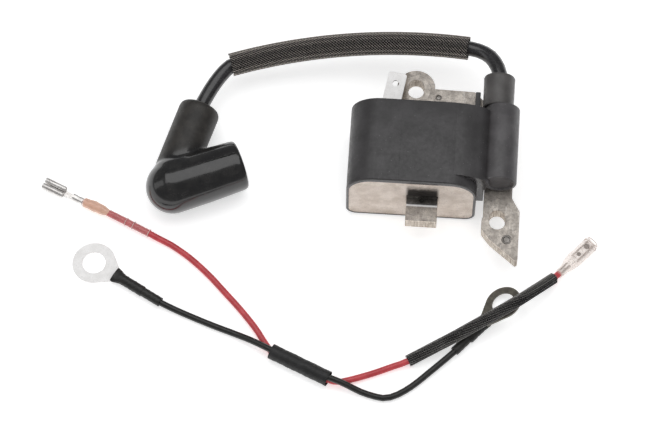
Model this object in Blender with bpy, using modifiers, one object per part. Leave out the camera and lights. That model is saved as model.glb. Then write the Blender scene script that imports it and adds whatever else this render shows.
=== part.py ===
"""Ignition coil module of a small engine, with its plug lead, plug boot and a loose two-wire harness.

+Z points out of the module's front face, +Y towards the mounting lug and +X towards the lead tower.
The origin is under the centre of the module, on the surface that everything lies on.
Sizes here are in millimetres. Each helper turns them into metres once, with MM.
"""

import math

import bmesh
import bpy
from mathutils import Matrix, Vector

MM = 0.001
WELD = 0.00001  # metres, the distance under which points merge
GAP = 0.3  # between pieces that touch
LAP = 0.2  # joined pieces overlap by this much instead of sharing a face

# Module outline
HALF_WIDTH = 29.3
HALF_HEIGHT = 34.25

# Moulded case, open on its lower side where the resin is poured
CASE_LEFT, CASE_RIGHT = -HALF_WIDTH, 14.4
CASE_LOW, CASE_TOP = -13.75, 16.5
CASE_DEPTH = 28.8
SIDE_WALL, FRONT_WALL, TOP_WALL = 0.9, 2.2, 2.0
FRONT_CORNER, BACK_CORNER = 10.0, 3.5
WEB_LOW = -10.3  # where the web starts that fills the corner between the case and the tower
RESIN_THICK = 3.2

# Laminated core
CORE_BACK, CORE_FRONT = 9.4, 14.6
CORE_MID = (CORE_BACK + CORE_FRONT) / 2
POLE_X, POLE_WIDTH = -3.7, 10.6
POLE_TIP = -21.65
TONGUE = 2.1  # how far the bobbin's tongue runs out along the pole
YOKE_LOW, YOKE_TOP = CASE_TOP + GAP, 27.75
LUG_X, LUG_RADIUS = -7.9, HALF_HEIGHT - YOKE_TOP
SLOT_WIDTH, SLOT_LENGTH = 5.4, 6.9
LUG_SLOT = (LUG_X, 27.3)
LEG_SLOT = (21.9, -19.6)
LEG_LEFT, LEG_NARROW_RIGHT = 17.1, 26.5
YOKE_RIVET, YOKE_RIVET_RADIUS = (-0.1, 24.6), 0.8
LEG_RIVET, LEG_RIVET_RADIUS = (25.3, -26.6), 1.3

# Lead tower
LOWER_TOWER_X, LOWER_TOWER_RADIUS = 21.75, 5.85
LOWER_TOWER_END, LOWER_TOWER_TOP = -9.2, 18.5
LEAD_X, LEAD_Z = 20.2, 20.8
BUSHING_RADIUS, BUSHING_TOP = 5.33, 30.05

# Plug lead and its woven sleeve
LEAD_RADIUS, CONDUCTOR_RADIUS = 2.55, 0.9
LEAD_SOCKET = -3.0
PIN_HEAD, LINK_Y = 1.6, LEAD_SOCKET - 1.0
SLEEVE_RADIUS, SLEEVE_BORE = 4.05, 3.4
ARC_START, ARC_END = Vector((9.1, 42.4, 17.6)), Vector((-71.6, 34.4, 10.6))
ARC_RISE = 4.5

# Plug boot: the lead's neck and the plug's barrel, whose closed end is a dome
NECK_FOOT = Vector((-89.9, -13.1, 8.8))
NECK_ANGLE, NECK_LENGTH, NECK_RADIUS = math.radians(74.1), 32.4, 7.1
DOME = Vector((-88.1, -12.05, 9.2))
BARREL_ANGLE, BARREL_LENGTH, BARREL_RADIUS = math.radians(23.5), 24.6, 9.2
PLUG_BORE = 5.25
LEAD_DEPTH = 13.0

# Harness
WIRE_RADIUS = 1.1
LIE = WIRE_RADIUS + 0.1  # height of a wire's centre where it lies on the surface
BINDER_RADIUS, BINDER_BORE = 2.75, 2.45
BINDER_START, BINDER_END = Vector((-50.95, -67.1, 2.8)), Vector((-31.2, -75.8, 2.8))
STACK_OFFSET = 1.2
BRAID_RADIUS, BRAID_BORE = 2.05, 1.65
RING_A_RADIUS, RING_B_RADIUS, RING_HOLE, RING_THICK = 7.4, 6.3, 3.9, 0.8
RING_A_CENTRE, RING_A_ANGLE = (-112.9, -38.3), math.radians(-29.3)
RING_B_CENTRE, RING_B_ANGLE = (25.5, -45.1), math.radians(-130.6)
RING_A_PITCH, RING_A_ROLL = math.radians(4.5), 0.0
RING_B_PITCH, RING_B_ROLL = math.radians(-6.5), math.radians(24.5)
SHRINK_START, CRIMP_END = 8.7, 14.0
SHRINK_A_STEP, SHRINK_A_END = 19.8, 27.0
SHRINK_B_STEP, SHRINK_B_END = 17.0, 23.6
SHRINK_A_Z, SHRINK_B_Z = 1.95, 2.4
RECEPTACLE_A, RECEPTACLE_A_ANGLE = (-125.2, -13.3), math.radians(-24.0)
RECEPTACLE_B, RECEPTACLE_B_ANGLE = (49.0, -27.0), math.radians(48.5)
RECEPTACLE_A_Z, RECEPTACLE_B_Z = 1.9, 2.9

FINISHES = {  # colour, roughness, metallic
    "case_plastic": ((0.045, 0.043, 0.045), 0.45, 0.0),
    "potting_resin": ((0.58, 0.53, 0.47), 0.6, 0.0),
    "core_steel": ((0.42, 0.39, 0.35), 0.4, 0.9),
    "rivet_steel": ((0.5, 0.48, 0.45), 0.35, 1.0),
    "bobbin_nylon": ((0.12, 0.11, 0.1), 0.5, 0.0),
    "copper_enamel": ((0.55, 0.2, 0.07), 0.35, 0.8),
    "circuit_board": ((0.05, 0.25, 0.1), 0.5, 0.0),
    "component_epoxy": ((0.03, 0.03, 0.03), 0.4, 0.0),
    "tin_plate": ((0.82, 0.8, 0.77), 0.25, 1.0),
    "hook_up_wire": ((0.6, 0.6, 0.58), 0.5, 0.0),
    "lead_jacket": ((0.03, 0.03, 0.033), 0.3, 0.0),
    "copper_strand": ((0.6, 0.28, 0.14), 0.35, 1.0),
    "woven_sleeve": ((0.04, 0.035, 0.03), 0.8, 0.0),
    "boot_rubber": ((0.015, 0.015, 0.016), 0.2, 0.0),
    "spring_steel": ((0.6, 0.6, 0.6), 0.3, 1.0),
    "red_insulation": ((0.55, 0.05, 0.07), 0.4, 0.0),
    "black_insulation": ((0.03, 0.03, 0.03), 0.4, 0.0),
    "shrink_tube": ((0.025, 0.025, 0.025), 0.5, 0.0),
    "braid_sleeve": ((0.05, 0.045, 0.045), 0.75, 0.0),
    "clear_vinyl": ((0.75, 0.68, 0.62), 0.2, 0.0),
}


def clear_scene():
    for obj in list(bpy.data.objects):
        bpy.data.objects.remove(obj, do_unlink=True)


def new_collection(name):
    collection = bpy.data.collections.new(name)
    bpy.context.scene.collection.children.link(collection)
    return collection


def make_material(name):
    colour, roughness, metallic = FINISHES[name]
    material = bpy.data.materials.new(name)
    material.use_nodes = True
    shader = material.node_tree.nodes["Principled BSDF"]
    shader.inputs["Base Color"].default_value = (*colour, 1.0)
    shader.inputs["Roughness"].default_value = roughness
    shader.inputs["Metallic"].default_value = metallic
    return material


def add_object(name, data, finish):
    obj = bpy.data.objects.new(name, data)
    PARTS.objects.link(obj)
    if finish:
        data.materials.append(bpy.data.materials.get(finish) or make_material(finish))
    return obj


def axis_matrix(base, direction):
    """Places local +Z along direction, with local X kept level."""
    z_axis = Vector(direction).normalized()
    level = Vector((0, 0, 1)) if abs(z_axis.z) < 0.9 else Vector((0, 1, 0))
    x_axis = level.cross(z_axis).normalized()
    y_axis = z_axis.cross(x_axis)
    turn = Matrix((x_axis, y_axis, z_axis)).transposed().to_4x4()
    return Matrix.Translation(Vector(base) * MM) @ turn


# --- Booleans ----------------------------------------------------------------


def as_cutter(obj):
    obj.hide_render = True
    obj.display_type = "WIRE"
    PARTS.objects.unlink(obj)
    CUTTERS.objects.link(obj)


def combine(target, other, operation):
    modifier = target.modifiers.new(f"{operation.lower()}_{other.name}", "BOOLEAN")
    modifier.operation = operation
    modifier.solver = "EXACT"
    modifier.object = other
    as_cutter(other)


def cut(target, *cutters):
    for cutter in cutters:
        combine(target, cutter, "DIFFERENCE")


def join(target, *pieces):
    for piece in pieces:
        combine(target, piece, "UNION")


def to_mesh(curve_object):
    """Swaps a curve for a welded mesh, which a Boolean can use."""
    bpy.context.view_layer.update()
    evaluated = curve_object.evaluated_get(bpy.context.evaluated_depsgraph_get())
    mesh = bpy.data.meshes.new_from_object(evaluated)
    welded = bmesh.new()
    welded.from_mesh(mesh)
    bmesh.ops.remove_doubles(welded, verts=welded.verts, dist=WELD)
    bmesh.ops.recalc_face_normals(welded, faces=welded.faces)
    welded.to_mesh(mesh)
    welded.free()
    name, place = curve_object.name, curve_object.matrix_world.copy()
    bpy.data.objects.remove(curve_object, do_unlink=True)
    obj = add_object(name, mesh, None)
    obj.matrix_world = place
    return obj


# --- Outlines ----------------------------------------------------------------


def arc(centre, radius, start, end, steps):
    """Points on an arc between two angles in degrees, both ends included."""
    angles = (math.radians(start + (end - start) * i / steps) for i in range(steps + 1))
    return [(centre[0] + radius * math.cos(a), centre[1] + radius * math.sin(a)) for a in angles]


def rounded(corners, steps=4):
    """An outline from (x, y, radius) corners, each with its corner turned into an arc."""
    outline = []
    for i, (x, y, radius) in enumerate(corners):
        if not radius:
            outline.append((x, y))
            continue
        corner = Vector((x, y))
        before = (Vector(corners[i - 1][:2]) - corner).normalized()
        after = (Vector(corners[(i + 1) % len(corners)][:2]) - corner).normalized()
        half_angle = before.angle(after) / 2
        reach = radius / math.tan(half_angle)
        centre = corner + (before + after).normalized() * radius / math.sin(half_angle)
        first, last = corner + before * reach - centre, corner + after * reach - centre
        sweep = first.angle_signed(last)
        for k in range(steps + 1):
            turned_by = -sweep * k / steps
            outline.append(tuple(centre + Matrix.Rotation(turned_by, 2) @ first))
    return outline


def box_outline(left, right, low, high, radius=0.0, steps=3):
    return rounded([(left, low, radius), (right, low, radius), (right, high, radius), (left, high, radius)], steps)


def slot_outline(centre, width=SLOT_WIDTH, length=SLOT_LENGTH):
    """A slot with round ends that runs along Y."""
    x, y = centre
    straight = (length - width) / 2
    upper = arc((x, y + straight), width / 2, 0, 180, 8)
    lower = arc((x, y - straight), width / 2, 180, 360, 8)
    return upper + lower


def circle_outline(centre, radius, steps=16):
    return arc(centre, radius, 0, 360, steps)[:-1]


# --- Solids ------------------------------------------------------------------


def plate(name, outlines, low, high, finish, along="Z"):
    """A flat outline, with holes as further outlines, from low to high along Z or Y."""
    curve = bpy.data.curves.new(name, "CURVE")
    curve.dimensions = "2D"
    curve.fill_mode = "BOTH"
    curve.extrude = (high - low) / 2 * MM
    for outline in outlines:
        spline = curve.splines.new("POLY")
        spline.points.add(len(outline) - 1)
        for point, (x, y) in zip(spline.points, outline):
            point.co = (x * MM, y * MM, 0, 1)
        spline.use_cyclic_u = True
    obj = add_object(name, curve, finish)
    middle = (low + high) / 2 * MM
    if along == "Z":
        obj.location.z = middle
    else:
        obj.location.y = middle
        obj.rotation_euler.x = math.radians(90)
    return obj


def box(name, low, high, finish):
    """A box between two corners."""
    mesh = bpy.data.meshes.new(name)
    cube = bmesh.new()
    bmesh.ops.create_cube(cube, size=1.0)
    size = [(b - a) * MM for a, b in zip(low, high)]
    bmesh.ops.scale(cube, vec=size, verts=cube.verts)
    cube.to_mesh(mesh)
    cube.free()
    obj = add_object(name, mesh, finish)
    obj.location = [(a + b) / 2 * MM for a, b in zip(low, high)]
    return obj


def turned(name, profile, base, direction, finish, steps=20):
    """Turns (radius, height) points, outer side first and from the top down, about an axis."""
    mesh = bpy.data.meshes.new(name)
    mesh.from_pydata([(r * MM, 0, h * MM) for r, h in profile], [(i, i + 1) for i in range(len(profile) - 1)], [])
    obj = add_object(name, mesh, finish)
    obj.matrix_world = axis_matrix(base, direction)
    screw = obj.modifiers.new("turn", "SCREW")
    screw.steps = screw.render_steps = steps
    screw.use_merge_vertices = True
    screw.merge_threshold = WELD
    screw.use_smooth_shade = True
    return obj


def cylinder(name, radius, start, end, finish, steps=20):
    start, end = Vector(start), Vector(end)
    length = (end - start).length
    return turned(name, [(0, length), (radius, length), (radius, 0), (0, 0)], start, end - start, finish, steps)


def ring_profile(outer, inner):
    """A closed tube wall from its (radius, height) outer points, top down, and its inner points, bottom up."""
    return outer + inner + outer[:1]


def route(points, spacing):
    """Even points along a smooth curve through the given ones."""
    knots = [Vector(p) for p in points]
    knots = [2 * knots[0] - knots[1], *knots, 2 * knots[-1] - knots[-2]]
    fine = []
    for a, b, c, d in zip(knots, knots[1:], knots[2:], knots[3:]):
        for i in range(24):
            t = i / 24
            fine.append(
                0.5 * (2 * b + (c - a) * t + (2 * a - 5 * b + 4 * c - d) * t**2 + (3 * b - a - 3 * c + d) * t**3)
            )
    fine.append(knots[-2])
    total = sum((q - p).length for p, q in zip(fine, fine[1:]))
    count = max(2, round(total / spacing))
    even, run, k = [fine[0]], 0.0, 0
    for i in range(1, count):
        goal = total * i / count
        while run + (fine[k + 1] - fine[k]).length < goal:
            run += (fine[k + 1] - fine[k]).length
            k += 1
        step = (fine[k + 1] - fine[k]).length
        even.append(fine[k].lerp(fine[k + 1], (goal - run) / step))
    return [*even, fine[-1]]


def tube(name, points, radius, finish, resolution=2):
    curve = bpy.data.curves.new(name, "CURVE")
    curve.dimensions = "3D"
    curve.bevel_depth = radius * MM
    curve.bevel_resolution = resolution
    curve.use_fill_caps = True
    spline = curve.splines.new("POLY")
    spline.points.add(len(points) - 1)
    for point, place in zip(spline.points, points):
        point.co = (*(Vector(place) * MM), 1)
    return add_object(name, curve, finish)


def hollow_tube(name, points, radius, bore, finish, resolution=2):
    """A tube with a bore from end to end."""
    overrun = 1.0
    first = Vector(points[0]) + (Vector(points[0]) - Vector(points[1])).normalized() * overrun
    last = Vector(points[-1]) + (Vector(points[-1]) - Vector(points[-2])).normalized() * overrun
    wall = to_mesh(tube(name, points, radius, finish, resolution))
    cut(wall, to_mesh(tube(f"{name}_bore", [first, *points[1:-1], last], bore, None, resolution)))
    return wall


# --- Coil module -------------------------------------------------------------


def case_outline(side, front_wall):
    """The D-shaped section of the case, seen along Y: x across, y for height above the back."""
    left, right = CASE_LEFT + side, CASE_RIGHT - side
    back, front = side, CASE_DEPTH - front_wall
    back_radius, front_radius = BACK_CORNER - side * 0.6, FRONT_CORNER - front_wall * 0.8
    return rounded(
        [
            (left, back, back_radius),
            (right, back, back_radius),
            (right, front, front_radius),
            (left, front, front_radius),
        ],
        6,
    )


def pole_opening(name, margin, low, high):
    half = POLE_WIDTH / 2 + margin
    return box(
        name,
        (POLE_X - half, low, CORE_BACK - margin),
        (POLE_X + half, high, CORE_FRONT + margin),
        None,
    )


def web_outline():
    """The web's section: nearly level in front from the case to the tower, and inside the case wall behind."""
    front = [(6.2, 28.6), (8.8, 28.5), (11.3, 27.9), (13.5, 27.1), (15.4, 26.3), (16.8, 25.1), (17.8, 23.8)]
    tower_side = [(LOWER_TOWER_X - 3.0, LEAD_Z), (LEG_LEFT - GAP, LEAD_Z - 3.5), (LEG_LEFT - GAP, 8.5)]
    case_side = [(13.9, 8.5), (13.9, 19.2), (13.0, 22.7), (10.8, 25.6), (8.0, 27.2)]
    return front + tower_side + case_side


def build_case():
    case = to_mesh(plate("case_shell", [case_outline(0, 0)], CASE_LOW, CASE_TOP, "case_plastic", "Y"))
    inside = case_outline(SIDE_WALL, FRONT_WALL)
    cavity = to_mesh(plate("cavity", [inside], CASE_LOW - 1, CASE_TOP - TOP_WALL, None, "Y"))
    cut(case, cavity, pole_opening("pole_exit", GAP, CASE_TOP - TOP_WALL - 1, CASE_TOP + 1))
    web = to_mesh(plate("web", [web_outline()], WEB_LOW, CASE_TOP - LAP, None, "Y"))
    rib = box("rib", (12.4, CASE_TOP - 1, CORE_FRONT + GAP), (14.1, 25.6, 18.6), None)
    tower = cylinder(
        "lower_tower",
        LOWER_TOWER_RADIUS,
        (LOWER_TOWER_X, LOWER_TOWER_END, LEAD_Z),
        (LOWER_TOWER_X, LOWER_TOWER_TOP, LEAD_Z),
        None,
        28,
    )
    join(case, web, rib, tower)
    socket = cylinder(
        "socket",
        LEAD_RADIUS + GAP,
        (LEAD_X, LEAD_SOCKET - 2.5, LEAD_Z),
        (LEAD_X, LOWER_TOWER_TOP + 1, LEAD_Z),
        None,
        16,
    )
    half = 1.0
    passage = box(
        "passage",
        (CASE_RIGHT - FRONT_WALL - 1, LINK_Y - half, LEAD_Z - half),
        (LEAD_X, LINK_Y + half, LEAD_Z + half),
        None,
    )
    cut(case, socket, passage)


def build_resin():
    outline = case_outline(SIDE_WALL + GAP, FRONT_WALL + GAP)
    resin = to_mesh(plate("potting_resin", [outline], CASE_LOW + 0.15, CASE_LOW + RESIN_THICK, "potting_resin", "Y"))
    cut(resin, pole_opening("resin_opening", 1.6, CASE_LOW - 1, CASE_LOW + RESIN_THICK + 1))


def build_rivet(name, centre, radius):
    cylinder(name, radius, (*centre, CORE_BACK), (*centre, CORE_FRONT), "rivet_steel", 16)


def build_core():
    leg_right = HALF_WIDTH
    outline = rounded(
        [
            (LUG_X - LUG_RADIUS, YOKE_LOW, 0),
            (LEG_LEFT, YOKE_LOW, 0),
            (LEG_LEFT, -18.6, 0.6),
            (16.7, -19.4, 0.4),
            (16.7, -23.3, 0.6),
            (19.6, -27.0, 0.4),
            (28.6, -HALF_HEIGHT, 0.4),
            (leg_right, -33.6, 0.3),
            (leg_right, -16.1, 1.5),
            (LEG_NARROW_RIGHT, -11.4, 2.0),
            (LEG_NARROW_RIGHT, 13.2, 1.0),
            (12.1, YOKE_TOP - 0.3, 0.5),
            (LUG_X + LUG_RADIUS, YOKE_TOP, 1.2),
        ]
    )
    lug = arc((LUG_X, YOKE_TOP), LUG_RADIUS, 8, 180, 14)
    holes = [
        slot_outline(LUG_SLOT),
        slot_outline(LEG_SLOT),
        circle_outline(YOKE_RIVET, YOKE_RIVET_RADIUS + GAP),
        circle_outline(LEG_RIVET, LEG_RIVET_RADIUS + GAP),
    ]
    plate("core_frame", [outline + lug, *holes], CORE_BACK, CORE_FRONT, "core_steel")
    half = POLE_WIDTH / 2
    box("core_pole", (POLE_X - half, POLE_TIP, CORE_BACK), (POLE_X + half, CASE_TOP, CORE_FRONT), "core_steel")
    build_rivet("core_rivet_yoke", YOKE_RIVET, YOKE_RIVET_RADIUS)
    build_rivet("core_rivet_leg", LEG_RIVET, LEG_RIVET_RADIUS)


def around_pole(grow, corner=0.0):
    """The pole's section, grown on every side."""
    half_x, half_z = POLE_WIDTH / 2 + grow, (CORE_FRONT - CORE_BACK) / 2 + grow
    return box_outline(POLE_X - half_x, POLE_X + half_x, CORE_MID - half_z, CORE_MID + half_z, corner)


def square_ring(name, inner, wall, low, high, finish):
    """A rectangular sleeve round the pole, from low to high along Y."""
    return plate(name, [around_pole(inner + wall, wall), around_pole(inner)], low, high, finish, "Y")


def build_collar():
    """The bobbin's end round the pole, level with the resin, and its tongue on the pole's front."""
    wall = 1.0
    low, high = CASE_LOW + 0.15, CASE_LOW + 2.6
    collar = to_mesh(plate("pole_collar", [around_pole(GAP + wall, wall)], low, high, "bobbin_nylon", "Y"))
    half = POLE_WIDTH / 2 - LAP
    tongue = box(
        "tongue",
        (POLE_X - half, CASE_LOW - TONGUE, CORE_FRONT + GAP + LAP / 2),
        (POLE_X + half, low + LAP, CORE_FRONT + GAP + wall - LAP / 2),
        None,
    )
    join(collar, tongue)
    cut(collar, to_mesh(plate("collar_bore", [around_pole(GAP)], low - 1, high + 1, None, "Y")))


WINDING_LOW, WINDING_HIGH = -9.6, 13.2
PRIMARY_INNER, PRIMARY_BOBBIN_WALL, PRIMARY_CHEEK, PRIMARY_BUILD = 0.35, 0.85, 2.6, 1.3
SECONDARY_INNER, SECONDARY_BOBBIN_WALL, SECONDARY_CHEEK, SECONDARY_BUILD = 3.5, 0.8, 3.4, 2.0
SECTIONS, FLANGE = 4, 0.7
SECTION_PITCH = (WINDING_HIGH - WINDING_LOW - FLANGE) / SECTIONS


def build_bobbin(name, inner, wall, cheek, flange_lows):
    """A rectangular spool round the pole with a flange at each given height."""
    body = plate(name, [around_pole(inner + wall, wall)], WINDING_LOW + LAP, WINDING_HIGH - LAP, "bobbin_nylon", "Y")
    body = to_mesh(body)
    for i, low in enumerate(flange_lows):
        flange = plate(f"{name}_flange_{i}", [around_pole(inner + cheek, cheek)], low, low + FLANGE, None, "Y")
        join(body, to_mesh(flange))
    bore = plate(f"{name}_bore", [around_pole(inner)], WINDING_LOW - 1, WINDING_HIGH + 1, None, "Y")
    cut(body, to_mesh(bore))


def build_windings():
    cheeks = [WINDING_LOW, WINDING_HIGH - FLANGE]
    build_bobbin("primary_bobbin", PRIMARY_INNER, PRIMARY_BOBBIN_WALL, PRIMARY_CHEEK, cheeks)
    wire = PRIMARY_INNER + PRIMARY_BOBBIN_WALL + GAP
    wound_low, wound_high = WINDING_LOW + FLANGE + GAP, WINDING_HIGH - FLANGE - GAP
    square_ring("primary_winding", wire, PRIMARY_BUILD, wound_low, wound_high, "copper_enamel")

    flanges = [WINDING_LOW + SECTION_PITCH * i for i in range(SECTIONS + 1)]
    build_bobbin("secondary_bobbin", SECONDARY_INNER, SECONDARY_BOBBIN_WALL, SECONDARY_CHEEK, flanges)
    wire = SECONDARY_INNER + SECONDARY_BOBBIN_WALL + GAP
    for i, flange in enumerate(flanges[:-1]):
        low, high = flange + FLANGE + GAP, flange + SECTION_PITCH - GAP
        square_ring(f"secondary_winding_{i + 1}", wire, SECONDARY_BUILD, low, high, "copper_enamel")


BOARD_LEFT, BOARD_RIGHT, BOARD_Z = -26.6, -17.2, 16.0


def build_electronics():
    box("control_board", (BOARD_LEFT, -8.8, BOARD_Z), (BOARD_RIGHT, 12.8, BOARD_Z + 1.6), "circuit_board")
    under = BOARD_Z - GAP
    box("switching_transistor", (-25.6, -6.0, under - 4.6), (-18.4, 4.4, under), "component_epoxy")
    for name, y in {"bias_resistor": 7.0, "sense_resistor": 10.2}.items():
        cylinder(name, 1.0, (-25.0, y, under - 1.2), (-18.6, y, under - 1.2), "component_epoxy", 12)
    # The winding's high end leaves the coil at the front, beside the tower.
    link = [(9.0, LINK_Y, LEAD_Z), (13.0, LINK_Y, LEAD_Z), (LEAD_X - PIN_HEAD - GAP, LINK_Y, LEAD_Z)]
    tube("tower_link", link, 0.5, "hook_up_wire")
    earth = [(-18.0, 13.6, 12.0), (-13.0, 13.9, 12.0), (POLE_X - POLE_WIDTH / 2 - GAP - 0.5, 13.9, 12.0)]
    tube("earth_wire", route(earth, 1.5), 0.4, "hook_up_wire")


TAB_Z, TAB_THICK, TAB_WIDTH = 20.0, 0.8, 6.3
TAB_FOOT, TAB_TIP, TAB_LEAN = (-16.8, CASE_TOP - 2.2), 16.3, math.radians(-9.0)
TAB_HOLE_HEIGHT, TAB_HOLE_RADIUS = 12.1, 1.15
TAB_TAIL_WIDTH, TAB_TAIL = 1.6, 4.3


def build_kill_tab():
    """A spade tab that leans towards the lug and runs through the top wall to the board."""
    half, tip = TAB_WIDTH / 2, TAB_TIP
    corners = [
        (-half, -TAB_TAIL, 0),
        (-half + TAB_TAIL_WIDTH, -TAB_TAIL, 0),
        (-half + TAB_TAIL_WIDTH, 0, 0),
        (half, 0, 0),
        (half, tip, 1.1),
        (-half, tip, 1.1),
    ]
    hole = circle_outline((0.0, TAB_HOLE_HEIGHT), TAB_HOLE_RADIUS, 12)
    tab = plate("kill_tab", [rounded(corners), hole], TAB_Z - TAB_THICK / 2, TAB_Z + TAB_THICK / 2, "tin_plate")
    tab.location.x, tab.location.y = TAB_FOOT[0] * MM, TAB_FOOT[1] * MM
    tab.rotation_euler.z = TAB_LEAN
    wide = half + GAP
    slit = to_mesh(
        plate(
            "tab_slit",
            [box_outline(-wide, wide, -1.0, tip)],
            TAB_Z - TAB_THICK / 2 - GAP,
            TAB_Z + TAB_THICK / 2 + GAP,
            None,
        )
    )
    slit.location.x, slit.location.y = tab.location.x, tab.location.y
    slit.rotation_euler.z = TAB_LEAN
    cut(PARTS.objects["case_shell"], slit)


def build_tower_top():
    length = BUSHING_TOP - LOWER_TOWER_TOP - GAP
    bore = LEAD_RADIUS + GAP
    outer = [(BUSHING_RADIUS - 0.6, length), (BUSHING_RADIUS, length - 0.6), (BUSHING_RADIUS, 0)]
    inner = [(bore, 0), (bore, length)]
    base = (LEAD_X, LOWER_TOWER_TOP + GAP, LEAD_Z)
    turned("tower_bushing", ring_profile(outer, inner), base, (0, 1, 0), "case_plastic", 28)
    pin = [(0, 5.6), (0.25, 5.4), (0.7, 3.6), (0.7, 1.0), (PIN_HEAD, 1.0), (PIN_HEAD, 0), (0, 0)]
    turned("contact_pin", pin, (LEAD_X, LEAD_SOCKET - 1.5, LEAD_Z), (0, 1, 0), "tin_plate", 12)


# --- Plug lead and boot ------------------------------------------------------


def sleeve_arc(start, end, overrun=0.0):
    """Points of the arc that the sleeve lies on, with an overrun in millimetres past each end."""
    chord = end - start
    along = chord.normalized()
    rise = Vector((-along.y, along.x, 0)).normalized()
    rise = rise if rise.y > 0 else -rise
    radius = (chord.length**2 / 4 + ARC_RISE**2) / (2 * ARC_RISE)
    centre = (start + end) / 2 - rise * (radius - ARC_RISE)
    half = math.asin(chord.length / 2 / radius) + overrun / radius
    count = 12
    angles = (half * (2 * i / count - 1) for i in range(count + 1))
    return [centre + along * radius * math.sin(a) + rise * radius * math.cos(a) for a in angles]


def heading(angle):
    return Vector((math.cos(angle), math.sin(angle), 0))


NECK_RIM = NECK_FOOT + heading(NECK_ANGLE) * NECK_LENGTH


def neck_point(depth):
    return NECK_RIM - heading(NECK_ANGLE) * depth


# The lead leaves the tower along +Y, turns back over the module and drops into the boot.
LEAD_POINTS = [
    (LEAD_X, LEAD_SOCKET, LEAD_Z),
    (LEAD_X, 14.0, LEAD_Z),
    (LEAD_X, 30.6, LEAD_Z),
    (19.2, 34.6, 20.4),
    (16.8, 38.6, 19.4),
    (13.3, 41.2, 18.2),
    *sleeve_arc(ARC_START, ARC_END)[:-1],
    (-71.7, 34.0, 10.5),
    (-74.3, 31.4, 9.9),
    (-76.9, 27.5, 9.3),
    (-79.2, 22.9, 8.9),
    neck_point(-1.0),
    neck_point(3.5),
    neck_point(8.5),
    neck_point(LEAD_DEPTH),
]


def build_lead():
    path = route(LEAD_POINTS, 5.6)
    hollow_tube("lead_jacket", path, LEAD_RADIUS, CONDUCTOR_RADIUS + GAP, "lead_jacket", 3)
    pin_clear = route([(LEAD_X, LEAD_SOCKET + 4.6, LEAD_Z), *LEAD_POINTS[1:]], 5.6)
    tube("lead_conductor", pin_clear, CONDUCTOR_RADIUS, "copper_strand")
    hollow_tube(
        "lead_sleeve", sleeve_arc(ARC_START, ARC_END), SLEEVE_RADIUS, SLEEVE_BORE, "woven_sleeve", 4
    )


def build_boot():
    neck_dir, barrel_dir = heading(NECK_ANGLE), heading(BARREL_ANGLE)
    chamfer, foot = 0.6, 3.0
    neck = [
        (0, NECK_LENGTH),
        (NECK_RADIUS - chamfer, NECK_LENGTH),
        (NECK_RADIUS, NECK_LENGTH - chamfer),
        (NECK_RADIUS - 0.1, foot),
        (0, foot),
    ]
    boot = turned("boot_body", neck, NECK_FOOT, neck_dir, "boot_rubber", 28)
    barrel = [
        (0, BARREL_LENGTH),
        (BARREL_RADIUS - chamfer, BARREL_LENGTH),
        (BARREL_RADIUS, BARREL_LENGTH - chamfer),
        (BARREL_RADIUS, 0),
        *[(r, -h) for r, h in arc((0, 0), BARREL_RADIUS, 0, 90, 6)[1:-1]],
        (0, -BARREL_RADIUS),
    ]
    join(boot, turned("barrel", barrel, DOME, barrel_dir, None, 28))
    lead_bore = cylinder("lead_bore", LEAD_RADIUS + GAP, NECK_FOOT, NECK_RIM + neck_dir, None, 20)
    plug_bore = cylinder("plug_bore", PLUG_BORE, DOME, DOME + barrel_dir * (BARREL_LENGTH + 1), None, 24)
    cut(boot, lead_bore, plug_bore)
    # The contact spring sits at the closed end of the plug bore.
    turns, pitch, coil_radius, steps = 4, 1.2, 3.6, 14
    spring_frame = axis_matrix(DOME + barrel_dir * 0.9, barrel_dir)
    coil = []
    for i in range(turns * steps + 1):
        angle = math.tau * i / steps
        local = Vector((coil_radius * math.cos(angle), coil_radius * math.sin(angle), pitch * i / steps))
        coil.append(spring_frame @ (local * MM) / MM)
    tube("boot_spring", coil, 0.4, "spring_steel")


# --- Harness -----------------------------------------------------------------


def along(centre, angle, distance, z):
    """The point at a distance from centre in a direction on the surface."""
    step = heading(angle) * distance
    return (centre[0] + step.x, centre[1] + step.y, z)


def build_ring_terminal(suffix, centre, angle, radius, tilt, shrink):
    """A ring terminal whose tail ends in a shrunk sleeve. Both lie along angle from the ring's centre."""
    pitch, roll = tilt
    step, end, axis_z = shrink
    tail = [(8.4, -1.9), (8.6, -0.9), (CRIMP_END, -0.9), (CRIMP_END, 0.9), (8.6, 0.9), (8.4, 1.9)]
    ring = arc((0, 0), radius, 20, 340, 26)
    hole = circle_outline((0, 0), RING_HOLE, 24)
    low, high = -RING_THICK / 2, RING_THICK / 2
    terminal = plate(f"ring_terminal_{suffix}", [ring + tail, hole], low, high, "tin_plate")
    height = axis_z - math.sin(pitch) * (SHRINK_START + CRIMP_END) / 2
    turn = Matrix.Rotation(angle, 4, "Z") @ Matrix.Rotation(-pitch, 4, "Y") @ Matrix.Rotation(roll, 4, "X")
    terminal.matrix_world = Matrix.Translation(Vector((*centre, height)) * MM) @ turn
    bore = WIRE_RADIUS + GAP
    length, narrow = end - SHRINK_START, end - step
    thick, thin = bore + 0.5, bore + 0.3
    outer = [(thick, length), (thick, narrow), (thin, narrow - 1), (thin, 0)]
    inner = [(bore, 0), (bore, length)]
    base = along(centre, angle, end, axis_z)
    turned(f"ring_shrink_{suffix}", ring_profile(outer, inner), base, -heading(angle), "shrink_tube", 14)


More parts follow.
